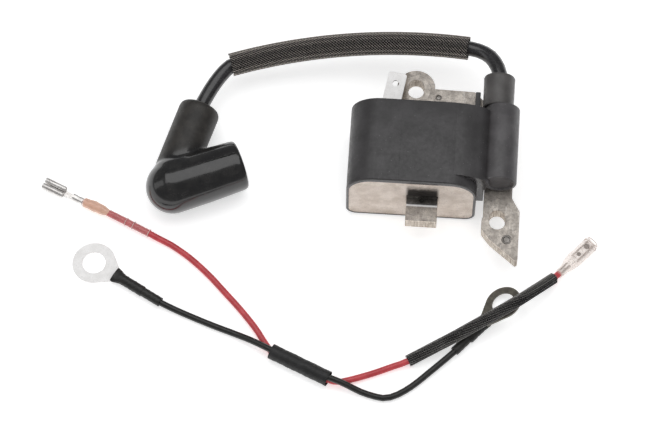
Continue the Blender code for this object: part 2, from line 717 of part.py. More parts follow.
def build_receptacle(suffix, centre, angle, z, width, length):
    """A push-on receptacle: a flat box open at its far end, a neck and a crimp barrel."""
    half, thick = width / 2, 1.1
    name = f"receptacle_{suffix}"
    shell = box(name, (-length, -half, -thick), (0, half, thick), "tin_plate")
    slot = box(f"{name}_slot", (-length - 1, -half + 0.5, -thick + 0.5), (-0.6, half - 0.5, thick - 0.5), None)
    neck = box(f"{name}_neck", (-0.4, -1.0, -0.5), (4.0, 1.0, 0.5), None)
    barrel = cylinder(f"{name}_crimp", 1.3, (3.2, 0, 0), (7.2, 0, 0), None, 12)
    for piece in (slot, neck, barrel):
        local = piece.matrix_world if piece is barrel else Matrix.Translation(piece.location)
        turn = Matrix.Translation(Vector((*centre, z)) * MM) @ Matrix.Rotation(angle, 4, "Z")
        piece.matrix_world = turn @ local
    turn = Matrix.Translation(Vector((*centre, z)) * MM) @ Matrix.Rotation(angle, 4, "Z")
    shell.matrix_world = turn @ Matrix.Translation(shell.location)
    join(shell, neck, barrel)
    cut(shell, slot)


def in_binder(offset):
    """Points of a wire's straight stretch in the binder tube, above or below its axis."""
    lift = Vector((0, 0, offset))
    return [tuple(BINDER_START.lerp(BINDER_END, t) + lift) for t in (0.04, 0.35, 0.65, 0.96)]


TERMINAL_GAP = 0.5
WIRE_PULL = CRIMP_END + TERMINAL_GAP
RED_POINTS = [
    along(RECEPTACLE_A, RECEPTACLE_A_ANGLE, 7.2 + TERMINAL_GAP, RECEPTACLE_A_Z),
    (-114.0, -18.0, 2.0),
    (-108.0, -20.7, 2.1),
    (-101.5, -23.7, 2.1),
    (-95.0, -26.7, 1.9),
    (-91.0, -28.5, 1.4),
    (-87.4, -30.1, LIE),
    (-80.7, -34.5, LIE),
    (-73.8, -40.4, LIE),
    (-68.1, -46.2, LIE),
    (-62.4, -52.1, LIE),
    (-56.9, -58.5, LIE),
    (-53.4, -63.6, 1.4),
    *in_binder(-STACK_OFFSET),
    (-28.2, -76.1, 1.4),
    (-24.6, -75.2, LIE),
    (-17.2, -72.5, LIE),
    (-10.5, -69.6, 1.4),
    (-5.1, -67.4, 2.15),
    (4.4, -62.0, 4.0),
    (9.7, -59.3, 5.8),
    (16.0, -55.6, 7.4),
    (22.6, -51.5, 8.5),
    (29.6, -46.8, 9.2),
    (35.4, -41.5, 7.1),
    (42.0, -34.8, 3.3),
    along(RECEPTACLE_B, RECEPTACLE_B_ANGLE, -7.2 - TERMINAL_GAP, RECEPTACLE_B_Z),
]
BLACK_POINTS = [
    along(RING_A_CENTRE, RING_A_ANGLE, WIRE_PULL, SHRINK_A_Z),
    along(RING_A_CENTRE, RING_A_ANGLE, 21.0, SHRINK_A_Z),
    along(RING_A_CENTRE, RING_A_ANGLE, SHRINK_A_END + 0.4, SHRINK_A_Z - 0.1),
    (-82.0, -54.5, LIE),
    (-71.8, -58.3, LIE),
    (-63.0, -61.3, 1.4),
    (-57.0, -64.0, 2.8),
    *in_binder(STACK_OFFSET),
    (-28.7, -76.5, 4.0),
    (-25.4, -77.5, 3.1),
    (-20.5, -79.1, 1.5),
    (-16.4, -80.2, LIE),
    (-12.4, -80.8, LIE),
    (-8.4, -79.5, LIE),
    (-3.4, -76.0, LIE),
    (2.6, -70.4, 1.6),
    along(RING_B_CENTRE, RING_B_ANGLE, SHRINK_B_END + 0.4, SHRINK_B_Z - 0.1),
    along(RING_B_CENTRE, RING_B_ANGLE, 19.0, SHRINK_B_Z),
    along(RING_B_CENTRE, RING_B_ANGLE, WIRE_PULL, SHRINK_B_Z),
]
CLEAR_A_POINTS, BRAID_POINTS = RED_POINTS[0:5], RED_POINTS[21:29]


def build_harness():
    tube("red_wire", route(RED_POINTS, 4.4), WIRE_RADIUS, "red_insulation")
    tube("black_wire", route(BLACK_POINTS, 4.4), WIRE_RADIUS, "black_insulation")
    axis = BINDER_END - BINDER_START
    outer = [(BINDER_RADIUS, axis.length), (BINDER_RADIUS, 0)]
    inner = [(BINDER_BORE, 0), (BINDER_BORE, axis.length)]
    turned("binder_tube", ring_profile(outer, inner), BINDER_START, axis, "shrink_tube", 20)
    hollow_tube("wire_sleeve", route(BRAID_POINTS, 4.4), BRAID_RADIUS, BRAID_BORE, "braid_sleeve")
    shrink_a = (SHRINK_A_STEP, SHRINK_A_END, SHRINK_A_Z)
    shrink_b = (SHRINK_B_STEP, SHRINK_B_END, SHRINK_B_Z)
    build_ring_terminal("a", RING_A_CENTRE, RING_A_ANGLE, RING_A_RADIUS, (RING_A_PITCH, RING_A_ROLL), shrink_a)
    build_ring_terminal("b", RING_B_CENTRE, RING_B_ANGLE, RING_B_RADIUS, (RING_B_PITCH, RING_B_ROLL), shrink_b)
    build_receptacle("a", RECEPTACLE_A, RECEPTACLE_A_ANGLE, RECEPTACLE_A_Z, 4.4, 7.8)
    build_receptacle("b", RECEPTACLE_B, RECEPTACLE_B_ANGLE + math.pi, RECEPTACLE_B_Z, 3.6, 7.4)
    bore = WIRE_RADIUS + GAP
    hollow_tube("clear_sleeve_a", route(CLEAR_A_POINTS, 3.0), bore + 0.4, bore, "clear_vinyl")
    start = Vector(along(RECEPTACLE_B, RECEPTACLE_B_ANGLE, -8.3, RECEPTACLE_B_Z))
    length = 17.3
    outer = [(2.3, length), (2.85, length - 1.5), (2.85, 8.2), (1.9, 5.0), (1.9, 0)]
    inner = [(1.5, 0), (1.5, 5.4), (2.45, 8.6), (2.45, length - 1.7), (2.0, length)]
    turned("clear_sleeve_b", ring_profile(outer, inner), start, heading(RECEPTACLE_B_ANGLE), "clear_vinyl", 16)


clear_scene()
PARTS = new_collection("ignition_coil")
CUTTERS = new_collection("cutters")
build_case()
build_resin()
build_core()
build_collar()
build_windings()
build_electronics()
build_kill_tab()
build_tower_top()
build_lead()
build_boot()
build_harness()
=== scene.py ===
"""Looks of the ignition coil module, its plug lead and boot, and its loose two-wire harness.

Every piece is built in millimetres in the CAD frame and turned into metres once, with MM.
+Z points out of the module's front face, +Y towards the mounting lug, +X towards the lead tower.
"""

import bisect
import random
from math import asin, atan2, cos, exp, pi, radians, sin, sqrt, tan, tau

import bmesh
import bpy
from mathutils import Matrix, Vector


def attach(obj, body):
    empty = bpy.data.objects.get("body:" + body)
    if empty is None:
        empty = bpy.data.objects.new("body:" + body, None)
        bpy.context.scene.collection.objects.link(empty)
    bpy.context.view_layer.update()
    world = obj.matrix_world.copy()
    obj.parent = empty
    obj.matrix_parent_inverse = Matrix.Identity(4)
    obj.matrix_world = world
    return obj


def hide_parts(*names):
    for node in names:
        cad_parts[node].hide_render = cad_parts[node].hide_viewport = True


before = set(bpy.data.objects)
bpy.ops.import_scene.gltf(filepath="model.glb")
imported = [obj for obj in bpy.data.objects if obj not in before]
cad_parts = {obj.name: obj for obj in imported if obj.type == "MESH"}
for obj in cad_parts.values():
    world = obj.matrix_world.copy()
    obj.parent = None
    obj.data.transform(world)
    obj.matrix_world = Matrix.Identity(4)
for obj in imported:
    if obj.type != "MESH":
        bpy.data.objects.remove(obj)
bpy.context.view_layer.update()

MM = 0.001
GAP = 0.3
PIECES = bpy.data.collections.new("looks")
bpy.context.scene.collection.children.link(PIECES)


# --- Camera ------------------------------------------------------------------

CAMERA_AZIMUTH, CAMERA_ELEVATION = radians(3.7), radians(66.0)
CAMERA_DISTANCE = 1.3
CAMERA_TARGET = Vector((-0.03639, -0.01378, 0.0))
CAMERA_LENS, SENSOR_WIDTH = 211.8, 36.0


def add_camera():
    level, height = cos(CAMERA_ELEVATION), sin(CAMERA_ELEVATION)
    back = Vector((sin(CAMERA_AZIMUTH) * level, -cos(CAMERA_AZIMUTH) * level, height))
    right = Vector((cos(CAMERA_AZIMUTH), sin(CAMERA_AZIMUTH), 0))
    turn = Matrix((right, back.cross(right), back)).transposed().to_4x4()
    data = bpy.data.cameras.new("camera")
    data.lens, data.sensor_width = CAMERA_LENS, SENSOR_WIDTH
    data.clip_start, data.clip_end = 0.05, 20.0
    camera = bpy.data.objects.new("camera", data)
    camera.matrix_world = Matrix.Translation(CAMERA_TARGET + back * CAMERA_DISTANCE) @ turn
    bpy.context.scene.collection.objects.link(camera)
    bpy.context.scene.camera = camera


add_camera()


# --- Routes, the same points as the CAD's ------------------------------------


def heading(angle):
    return Vector((cos(angle), sin(angle), 0))


def along(centre, angle, distance, z):
    """The point at a distance from centre in a direction on the surface."""
    step = heading(angle) * distance
    return (centre[0] + step.x, centre[1] + step.y, z)


def route(points, spacing):
    """Even points along a smooth curve through the given ones."""
    knots = [Vector(p) for p in points]
    knots = [2 * knots[0] - knots[1], *knots, 2 * knots[-1] - knots[-2]]
    fine = []
    for a, b, c, d in zip(knots, knots[1:], knots[2:], knots[3:]):
        for i in range(24):
            t = i / 24
            fine.append(
                0.5 * (
                    2 * b + (c - a) * t + (
                        2 * a - 5 * b + 4 * c - d
                    ) * t**2 + (3 * b - a - 3 * c + d) * t**3
                )
            )
    fine.append(knots[-2])
    total = path_length(fine)
    count = max(2, round(total / spacing))
    even, run, k = [fine[0]], 0.0, 0
    for i in range(1, count):
        goal = total * i / count
        while run + (fine[k + 1] - fine[k]).length < goal:
            run += (fine[k + 1] - fine[k]).length
            k += 1
        step = (fine[k + 1] - fine[k]).length
        even.append(fine[k].lerp(fine[k + 1], (goal - run) / step))
    return [*even, fine[-1]]


def path_length(points):
    return sum((q - p).length for p, q in zip(points, points[1:]))


# Lead, sleeve and boot
LEAD_X, LEAD_Z, LEAD_RADIUS = 20.2, 20.8, 2.55
SLEEVE_RADIUS = 4.05
ARC_START, ARC_END, ARC_RISE = Vector((9.1, 42.4, 17.6)), Vector((-71.6, 34.4, 10.6)), 4.5
NECK_FOOT = Vector((-89.9, -13.1, 8.8))
NECK_ANGLE, NECK_LENGTH, NECK_RADIUS = radians(74.1), 32.4, 7.1
DOME, BARREL_ANGLE = Vector((-88.1, -12.05, 9.2)), radians(23.5)
BARREL_LENGTH, BARREL_RADIUS, PLUG_BORE = 24.6, 9.2, 5.25
LEAD_DEPTH = 13.0
NECK_RIM = NECK_FOOT + heading(NECK_ANGLE) * NECK_LENGTH


def neck_point(depth):
    return NECK_RIM - heading(NECK_ANGLE) * depth


def sleeve_arc(start, end, count=12):
    """Points of the arc that the woven sleeve lies on."""
    chord = end - start
    forward = chord.normalized()
    rise = Vector((-forward.y, forward.x, 0)).normalized()
    rise = rise if rise.y > 0 else -rise
    radius = (chord.length**2 / 4 + ARC_RISE**2) / (2 * ARC_RISE)
    centre = (start + end) / 2 - rise * (radius - ARC_RISE)
    half = asin(chord.length / 2 / radius)
    angles = (half * (2 * i / count - 1) for i in range(count + 1))
    return [centre + forward * radius * sin(a) + rise * radius * cos(a) for a in angles]


LEAD_START_Y = 16.0  # inside the tower, whose mouth is at TOWER_MOUTH
TOWER_MOUTH = 30.05
LEAD_POINTS = [
    (LEAD_X, LEAD_START_Y, LEAD_Z), (LEAD_X, 30.6, LEAD_Z), (19.2, 34.6, 20.4), (16.8, 38.6, 19.4),
    (13.3, 41.2, 18.2), *sleeve_arc(ARC_START, ARC_END)[:-1], (-71.7, 34.0, 10.5), (-74.3, 31.4, 9.9),
    (-76.9, 27.5, 9.3), (-79.2, 22.9, 8.9), neck_point(-1.0), neck_point(3.5), neck_point(8.5),
    neck_point(LEAD_DEPTH),
]

# Harness
WIRE_RADIUS = 1.1
LIE = WIRE_RADIUS + 0.1
BINDER_RADIUS, BINDER_BORE = 2.75, 2.45
BINDER_START, BINDER_END = Vector((-50.95, -67.1, 2.8)), Vector((-31.2, -75.8, 2.8))
STACK_OFFSET = 1.2
BRAID_RADIUS = 2.05
RING_A_RADIUS, RING_B_RADIUS, RING_HOLE, RING_THICK = 7.4, 6.3, 3.9, 0.8
RING_A_CENTRE, RING_A_ANGLE = (-112.9, -38.3), radians(-29.3)
RING_B_CENTRE, RING_B_ANGLE = (25.5, -45.1), radians(-130.6)
RING_A_PITCH, RING_A_ROLL = radians(4.5), 0.0
RING_B_PITCH, RING_B_ROLL = radians(-6.5), radians(24.5)
SHRINK_START, CRIMP_END, WIRE_PULL = 8.7, 14.0, 14.5
SHRINK_A_STEP, SHRINK_A_END = 19.8, 27.0
SHRINK_B_STEP, SHRINK_B_END = 17.0, 23.6
SHRINK_A_Z, SHRINK_B_Z = 1.95, 2.4
RECEPTACLE_A, RECEPTACLE_A_ANGLE = (-125.2, -13.3), radians(-24.0)
RECEPTACLE_B, RECEPTACLE_B_ANGLE = (49.0, -27.0), radians(48.5)
RECEPTACLE_A_Z, RECEPTACLE_B_Z = 1.9, 2.9
RECEPTACLE_REACH = 7.7


def in_binder(offset):
    """Points of a wire's straight stretch in the binder tube, above or below its axis."""
    lift = Vector((0, 0, offset))
    return [tuple(BINDER_START.lerp(BINDER_END, t) + lift) for t in (0.04, 0.35, 0.65, 0.96)]


RED_POINTS = [
    along(RECEPTACLE_A, RECEPTACLE_A_ANGLE, RECEPTACLE_REACH, RECEPTACLE_A_Z), (-114.0, -18.0, 2.0),
    (-108.0, -20.7, 2.1), (-101.5, -23.7, 2.1), (-95.0, -26.7, 1.9), (-91.0, -28.5, 1.4),
    (-87.4, -30.1, LIE), (-80.7, -34.5, LIE), (-73.8, -40.4, LIE), (-68.1, -46.2, LIE),
    (-62.4, -52.1, LIE), (-56.9, -58.5, LIE), (-53.4, -63.6, 1.4), *in_binder(-STACK_OFFSET),
    (-28.2, -76.1, 1.4), (-24.6, -75.2, LIE), (-17.2, -72.5, LIE), (-10.5, -69.6, 1.4),
    (-5.1, -67.4, 2.15), (4.4, -62.0, 4.0), (9.7, -59.3, 5.8), (16.0, -55.6, 7.4), (22.6, -51.5, 8.5),
    (29.6, -46.8, 9.2), (35.4, -41.5, 7.1), (42.0, -34.8, 3.3),
    along(RECEPTACLE_B, RECEPTACLE_B_ANGLE, -RECEPTACLE_REACH, RECEPTACLE_B_Z),
]
BLACK_POINTS = [
    along(RING_A_CENTRE, RING_A_ANGLE, WIRE_PULL, SHRINK_A_Z),
    along(RING_A_CENTRE, RING_A_ANGLE, 21.0, SHRINK_A_Z),
    along(RING_A_CENTRE, RING_A_ANGLE, SHRINK_A_END + 0.4, SHRINK_A_Z - 0.1), (-82.0, -54.5, LIE),
    (-71.8, -58.3, LIE), (-63.0, -61.3, 1.4), (-57.0, -64.0, 2.8), *in_binder(STACK_OFFSET),
    (-28.7, -76.5, 4.0), (-25.4, -77.5, 3.1), (-20.5, -79.1, 1.5), (-16.4, -80.2, LIE),
    (-12.4, -80.8, LIE), (-8.4, -79.5, LIE), (-3.4, -76.0, LIE), (2.6, -70.4, 1.6),
    along(RING_B_CENTRE, RING_B_ANGLE, SHRINK_B_END + 0.4, SHRINK_B_Z - 0.1),
    along(RING_B_CENTRE, RING_B_ANGLE, 19.0, SHRINK_B_Z),
    along(RING_B_CENTRE, RING_B_ANGLE, WIRE_PULL, SHRINK_B_Z),
]
CLEAR_A_POINTS, BRAID_POINTS = RED_POINTS[0:5], RED_POINTS[21:29]


# --- Materials ---------------------------------------------------------------


class Shader:
    """One material's node tree, with short calls for the nodes that the finishes share."""

    def __init__(self, name):
        self.material = bpy.data.materials.new(name)
        self.material.use_nodes = True
        self.tree = self.material.node_tree
        self.surface = self.tree.nodes["Principled BSDF"]

    def node(self, kind, **values):
        made = self.tree.nodes.new(kind)
        for key, value in values.items():
            setattr(made, key, value)
        return made

    def link(self, source, target):
        self.tree.links.new(source, target)

    def place(self, stretch=(1, 1, 1), coordinates="Object"):
        """Coordinates in millimetres, squeezed or stretched along each axis."""
        source = self.node("ShaderNodeTexCoord")
        mapping = self.node("ShaderNodeMapping")
        per_unit = 1.0 if coordinates == "UV" else 1 / MM
        mapping.inputs["Scale"].default_value = [s * per_unit for s in stretch]
        self.link(source.outputs[coordinates], mapping.inputs["Vector"])
        return mapping.outputs["Vector"]

    def noise(self, where, scale, detail=3.0, roughness=0.55):
        made = self.node("ShaderNodeTexNoise")
        made.inputs["Scale"].default_value = scale
        made.inputs["Detail"].default_value = detail
        made.inputs["Roughness"].default_value = roughness
        self.link(where, made.inputs["Vector"])
        return made.outputs["Fac"]

    def cells(self, where, scale):
        made = self.node("ShaderNodeTexVoronoi")
        made.inputs["Scale"].default_value = scale
        self.link(where, made.inputs["Vector"])
        return made.outputs["Distance"]

    def step(self, value, low, high, to_low=0.0, to_high=1.0):
        """Maps low..high smoothly to to_low..to_high, held at both ends."""
        made = self.node("ShaderNodeMapRange", interpolation_type="SMOOTHSTEP")
        for socket, number in zip(
            ("From Min", "From Max", "To Min", "To Max"), (low, high, to_low, to_high)
        ):
            made.inputs[socket].default_value = number
        self.link(value, made.inputs["Value"])
        return made.outputs["Result"]

    def fade(self, where, noise, *limits):
        """Noise of a (scale, detail, roughness), stepped between limits."""
        return self.step(self.noise(where, *noise), *limits)

    def maths(self, operation, first, second=None):
        made = self.node("ShaderNodeMath", operation=operation)
        for socket, value in zip(made.inputs, (first, second)):
            if isinstance(value, (int, float)):
                socket.default_value = value
            elif value is not None:
                self.link(value, socket)
        return made.outputs["Value"]

    def axis(self, where, name):
        made = self.node("ShaderNodeSeparateXYZ")
        self.link(where, made.inputs["Vector"])
        return made.outputs[name]

    def mix(self, factor, first, second):
        """A colour between two, each a colour or a socket."""
        made = self.node("ShaderNodeMix", data_type="RGBA")
        self.link(factor, made.inputs["Factor"])
        for socket, value in zip((made.inputs[6], made.inputs[7]), (first, second)):
            if isinstance(value, tuple):
                socket.default_value = (*value, 1.0)
            else:
                self.link(value, socket)
        return made.outputs[2]

    def bump(self, height, strength, distance, below=None):
        """Bump whose distance is in millimetres."""
        made = self.node("ShaderNodeBump")
        made.inputs["Strength"].default_value = strength
        made.inputs["Distance"].default_value = distance * MM
        self.link(height, made.inputs["Height"])
        if below is not None:
            self.link(below, made.inputs["Normal"])
        return made.outputs["Normal"]

    def finish(self, colour=None, roughness=None, normal=None, **constants):
        for socket, value in (("Base Color", colour), ("Roughness", roughness), ("Normal", normal)):
            if value is not None:
                self.link(value, self.surface.inputs[socket])
        for socket, value in constants.items():
            self.surface.inputs[socket.replace("_", " ")].default_value = value
        return self.material


def moulded_plastic(name, dark, light, rough, dust=0.5, polished_end=False, painted_light_side=None):
    """Satin moulding: mottled tone, fine spark-eroded grain and a few pale dust specks.

    A polished end is a mould face without grain, on every surface that looks towards -Y.
    A painted light side is (x in mm, gain): to the right of that x the moulding is painted paler, as painted
    light.
    """
    shader = Shader(name)
    where = shader.place()
    tone = shader.fade(where, (0.16, 4.0), 0.35, 0.7)
    colour = shader.mix(tone, dark, light)
    # Painted light: a paler copy of the same moulding stands in for light on that side.
    if painted_light_side:
        edge, gain = painted_light_side
        beside = shader.step(shader.axis(where, "X"), edge - 0.8, edge + 0.8)
        painted_light = shader.mix(tone, tuple(c * gain for c in dark), tuple(c * gain for c in light))
        colour = shader.mix(beside, colour, painted_light)
    speck = shader.step(shader.cells(where, 0.55), 0.035, 0.075, dust, 0.0)
    fine_speck = shader.step(shader.cells(where, 1.7), 0.03, 0.09, dust * 0.45, 0.0)
    pale = tuple(min(1.0, c * 3 + 0.12) for c in light)
    colour = shader.mix(shader.maths("MAXIMUM", speck, fine_speck), colour, pale)
    matt = shader.fade(where, (0.8,), 0.3, 0.75, rough - 0.06, rough + 0.1)
    fine = shader.noise(where, 7.0, 2.0)
    sag = shader.noise(where, 0.22, 1.0)
    if polished_end:
        facing = shader.axis(shader.node("ShaderNodeNewGeometry").outputs["Normal"], "Y")
        matt = shader.maths("MULTIPLY", matt, shader.step(facing, -0.9, -0.6, 0.3, 1.0))
    normal = shader.bump(sag, 0.25, 0.25, shader.bump(fine, 0.6, 0.03))
    return shader.finish(colour, matt, normal)


def case_plastic():
    dark, light = (0.037, 0.035, 0.036), (0.055, 0.052, 0.054)
    # Painted light: the tower, right of x 17.6 mm, is painted 1.75 times paler for the sheen on it.
    return moulded_plastic("case_plastic", dark, light, 0.42, polished_end=True, painted_light_side=(17.6, 1.75))


# Where the pole's painted shadow lies on the resin face, in mm.
POLE_SHADOW_X, POLE_SHADOW_HALF_WIDTH, POLE_SHADOW_FOOT, POLE_SHADOW_TOP = -3.7, (4.6, 5.9), (13.5, 14.5), (21.5, 26.5)
# Where the tab's painted shadow lies on the lug, in mm.
TAB_SHADOW_X, TAB_SHADOW_Y = (-12.0, -9.6), (15.0, 17.0)


def potting_resin():
    """Filled casting resin: pale and mealy, with grains and pinholes, and a painted shadow of the pole on the
    face above it.
    """
    shader = Shader("potting_resin")
    where = shader.place()
    cloudy = shader.fade(where, (0.25, 5.0, 0.6), 0.32, 0.68)
    colour = shader.mix(cloudy, (0.64, 0.54, 0.46), (0.86, 0.76, 0.68))
    mealy = shader.fade(where, (3.2, 4.0, 0.7), 0.38, 0.7)
    colour = shader.mix(shader.maths("MULTIPLY", mealy, 0.55), colour, (0.46, 0.4, 0.35))
    grain = shader.step(shader.cells(where, 1.1), 0.06, 0.16, 0.8, 0.0)
    colour = shader.mix(grain, colour, (0.24, 0.2, 0.17))
    blot = shader.fade(where, (0.9, 5.0, 0.75), 0.56, 0.72, 0.0, 0.5)
    colour = shader.mix(blot, colour, (0.36, 0.3, 0.26))
    # Painted shadow: the resin above the pole is darkened as the pole's shadow.
    aside = shader.maths("ABSOLUTE", shader.maths("ADD", shader.axis(where, "X"), -POLE_SHADOW_X))
    across = shader.step(aside, *POLE_SHADOW_HALF_WIDTH, 1.0, 0.0)
    height = shader.maths(
        "ADD", shader.axis(where, "Z"), shader.maths("MULTIPLY", shader.noise(where, 0.9), 4.0),
    )
    upward = shader.step(height, *POLE_SHADOW_TOP, 1.0, 0.0)
    above = shader.step(height, *POLE_SHADOW_FOOT)
    painted_pole_shadow = shader.maths("MULTIPLY", shader.maths("MULTIPLY", across, upward), above)
    colour = shader.mix(shader.maths("MULTIPLY", painted_pole_shadow, 0.97), colour, (0.02, 0.018, 0.017))
    matt = shader.step(painted_pole_shadow, 0.0, 1.0, 0.55, 0.3)
    bumps = shader.bump(shader.noise(where, 0.7, 2.0), 0.5, 0.35, shader.bump(grain, 0.4, 0.12))
    return shader.finish(colour, matt, bumps)


def core_steel():
    """Silicon steel sheet: mill scale with bright scratches on top, warm sheared edges at the sides."""
    shader = Shader("core_steel")
    where = shader.place()
    scale_tone = shader.fade(where, (0.35, 5.0, 0.65), 0.35, 0.68)
    colour = shader.mix(scale_tone, (0.345, 0.312, 0.28), (0.58, 0.53, 0.477))
    pits = shader.fade(where, (2.4, 3.0, 0.7), 0.36, 0.46, 1.0, 0.0)
    colour = shader.mix(shader.maths("MULTIPLY", pits, 0.55), colour, (0.13, 0.12, 0.115))
    blotch = shader.fade(where, (0.9, 5.0, 0.75), 0.52, 0.66, 0.0, 0.55)
    colour = shader.mix(blotch, colour, (0.16, 0.15, 0.145))
    scratch = shader.fade(shader.place((2.6, 0.12, 1.0)), (1.2, 4.0, 0.7), 0.6, 0.7, 0.0, 0.7)
    colour = shader.mix(scratch, colour, (0.85, 0.82, 0.78))
    # Painted shadow: the lug's corner beside the tab is darkened brown, as the tab's shadow.
    west = shader.step(shader.axis(where, "X"), *TAB_SHADOW_X, 1.0, 0.0)
    brown = shader.maths("MULTIPLY", west, shader.step(shader.axis(where, "Y"), *TAB_SHADOW_Y, 0.0, 0.75))
    colour = shader.mix(brown, colour, (0.11, 0.085, 0.06))
    # Sheared edges face sideways, so the normal's height tells them from the rolled faces.
    facing = shader.node("ShaderNodeNewGeometry").outputs["Normal"]
    sideways = shader.step(shader.maths("ABSOLUTE", shader.axis(facing, "Z")), 0.3, 0.7, 1.0, 0.0)
    streak = shader.fade(shader.place((2.2, 2.2, 0.18)), (1.0, 3.0, 0.7), 0.3, 0.72)
    sheared = shader.mix(streak, (0.42, 0.34, 0.27), (0.9, 0.83, 0.74))
    colour = shader.mix(sideways, colour, sheared)
    matt = shader.fade(where, (1.1, 3.0), 0.3, 0.7, 0.34, 0.55)
    normal = shader.bump(shader.noise(where, 2.0, 3.0), 0.35, 0.12, shader.bump(streak, 0.15, 0.06))
    return shader.finish(colour, matt, normal, Metallic=0.75)


def bright_metal(name, dark, light, rough, pits=0.5, stretch=(1, 1, 1), metallic=1.0, relief=0.06):
    """Tin plate: bright and faintly hazy, with small dark pits and fine rolling marks."""
    shader = Shader(name)
    where = shader.place(stretch)
    haze = shader.fade(where, (0.5, 4.0, 0.6), 0.32, 0.7)
    colour = shader.mix(haze, dark, light)
    pit = shader.fade(where, (3.0, 2.0, 0.7), 0.3, 0.4, pits, 0.0)
    colour = shader.mix(pit, colour, tuple(c * 0.35 for c in dark))
    matt = shader.fade(where, (1.6, 3.0), 0.3, 0.7, rough - 0.07, rough + 0.12)
    normal = shader.bump(shader.noise(where, 1.3, 3.0), 0.3, relief)
    return shader.finish(colour, matt, normal, Metallic=metallic)


def smooth_rubber(name, dark, light, rough, coat=0.0, dust=0.25, ripple=0.12):
    """Extruded or moulded rubber: even, with faint ripples and specks of dust."""
    shader = Shader(name)
    where = shader.place()
    tone = shader.fade(where, (0.3, 3.0), 0.35, 0.68)
    colour = shader.mix(tone, dark, light)
    speck = shader.step(shader.cells(where, 0.8), 0.03, 0.08, dust, 0.0)
    colour = shader.mix(speck, colour, (0.3, 0.28, 0.25))
    matt = shader.fade(where, (1.4, 3.0), 0.3, 0.72, rough - 0.05, rough + 0.08)
    normal = shader.bump(shader.noise(where, 0.35, 1.5), ripple, 0.25)
    return shader.finish(colour, matt, normal, Coat_Weight=coat, Coat_Roughness=0.08)


def boot_rubber():
    """Glossy moulded barrel that turns matt and brownish where the neck leaves it."""
    shader = Shader("boot_rubber")
    where = shader.place()
    away = Vector((-sin(BARREL_ANGLE), cos(BARREL_ANGLE), 0))
    dot = shader.node("ShaderNodeVectorMath", operation="DOT_PRODUCT")
    dot.inputs[1].default_value = away
    shader.link(where, dot.inputs[0])
    rise = shader.maths("SUBTRACT", dot.outputs["Value"], DOME.dot(away))
    neck = shader.step(rise, BARREL_RADIUS - 1.6, BARREL_RADIUS + 1.6)
    tone = shader.fade(where, (0.3, 3.0), 0.35, 0.68)
    glossy = shader.mix(tone, (0.011, 0.0105, 0.011), (0.021, 0.02, 0.0195))
    matt = shader.mix(tone, (0.02, 0.018, 0.016), (0.036, 0.032, 0.028))
    colour = shader.mix(neck, glossy, matt)
    speck = shader.step(shader.cells(where, 0.8), 0.03, 0.08, 0.45, 0.0)
    colour = shader.mix(speck, colour, (0.3, 0.28, 0.25))
    uneven = shader.fade(where, (1.4, 3.0), 0.3, 0.72, 0.0, 0.1)
    rough = shader.maths("ADD", shader.step(neck, 0.0, 1.0, 0.14, 0.46), uneven)
    normal = shader.bump(shader.noise(where, 0.25, 1.5), 0.06, 0.3)
    shader.link(shader.step(neck, 0.0, 1.0, 0.4, 0.0), shader.surface.inputs["Coat Weight"])
    return shader.finish(colour, rough, normal, Coat_Roughness=0.08)


def yarn(name, dark, light, glint_colour=None):
    """Thread seen strand by strand: UV runs along the strand in millimetres."""
    shader = Shader(name)
    strand = shader.place((1.0, 7.0, 1.0), "UV")
    fibre = shader.noise(strand, 1.6, 3.0, 0.65)
    colour = shader.mix(shader.step(fibre, 0.36, 0.58), dark, light)
    if glint_colour:
        # Painted highlight: near-white flecks at random on the yarn, for the glint of its glossy strands.
        painted_light = shader.fade(shader.place(), (1.9, 3.0, 0.7), 0.56, 0.66, 0.0, 0.8)
        colour = shader.mix(painted_light, colour, glint_colour)
    matt = shader.step(fibre, 0.3, 0.7, 0.3, 0.55)
    return shader.finish(colour, matt, shader.bump(fibre, 0.4, 0.04), Sheen_Weight=0.3)


def clear_vinyl(name, tint, alpha):
    """Thin clear vinyl: mostly see-through, glossy, with soft creases."""
    shader = Shader(name)
    where = shader.place()
    tone = shader.fade(where, (0.6, 2.0), 0.3, 0.7)
    colour = shader.mix(tone, tint, tuple(min(1.0, c * 1.12) for c in tint))
    matt = shader.fade(where, (1.2, 2.0), 0.3, 0.7, 0.08, 0.2)
    normal = shader.bump(shader.noise(where, 0.8, 2.0), 0.35, 0.3)
    return shader.finish(colour, matt, normal, Alpha=alpha, Specular_IOR_Level=0.8)


def wound_wire(name, dark, light, pitch):
    """Turns of enamelled wire, one ridge for every pitch along Y."""
    shader = Shader(name)
    where = shader.place()
    phase = shader.maths("MULTIPLY", shader.axis(where, "Y"), tau / pitch)
    ridge = shader.step(shader.maths("SINE", phase), -1.0, 1.0)
    colour = shader.mix(ridge, dark, light)
    matt = shader.fade(where, (1.0,), 0.3, 0.7, 0.2, 0.35)
    return shader.finish(colour, matt, shader.bump(ridge, 0.8, 0.1), Metallic=0.7)


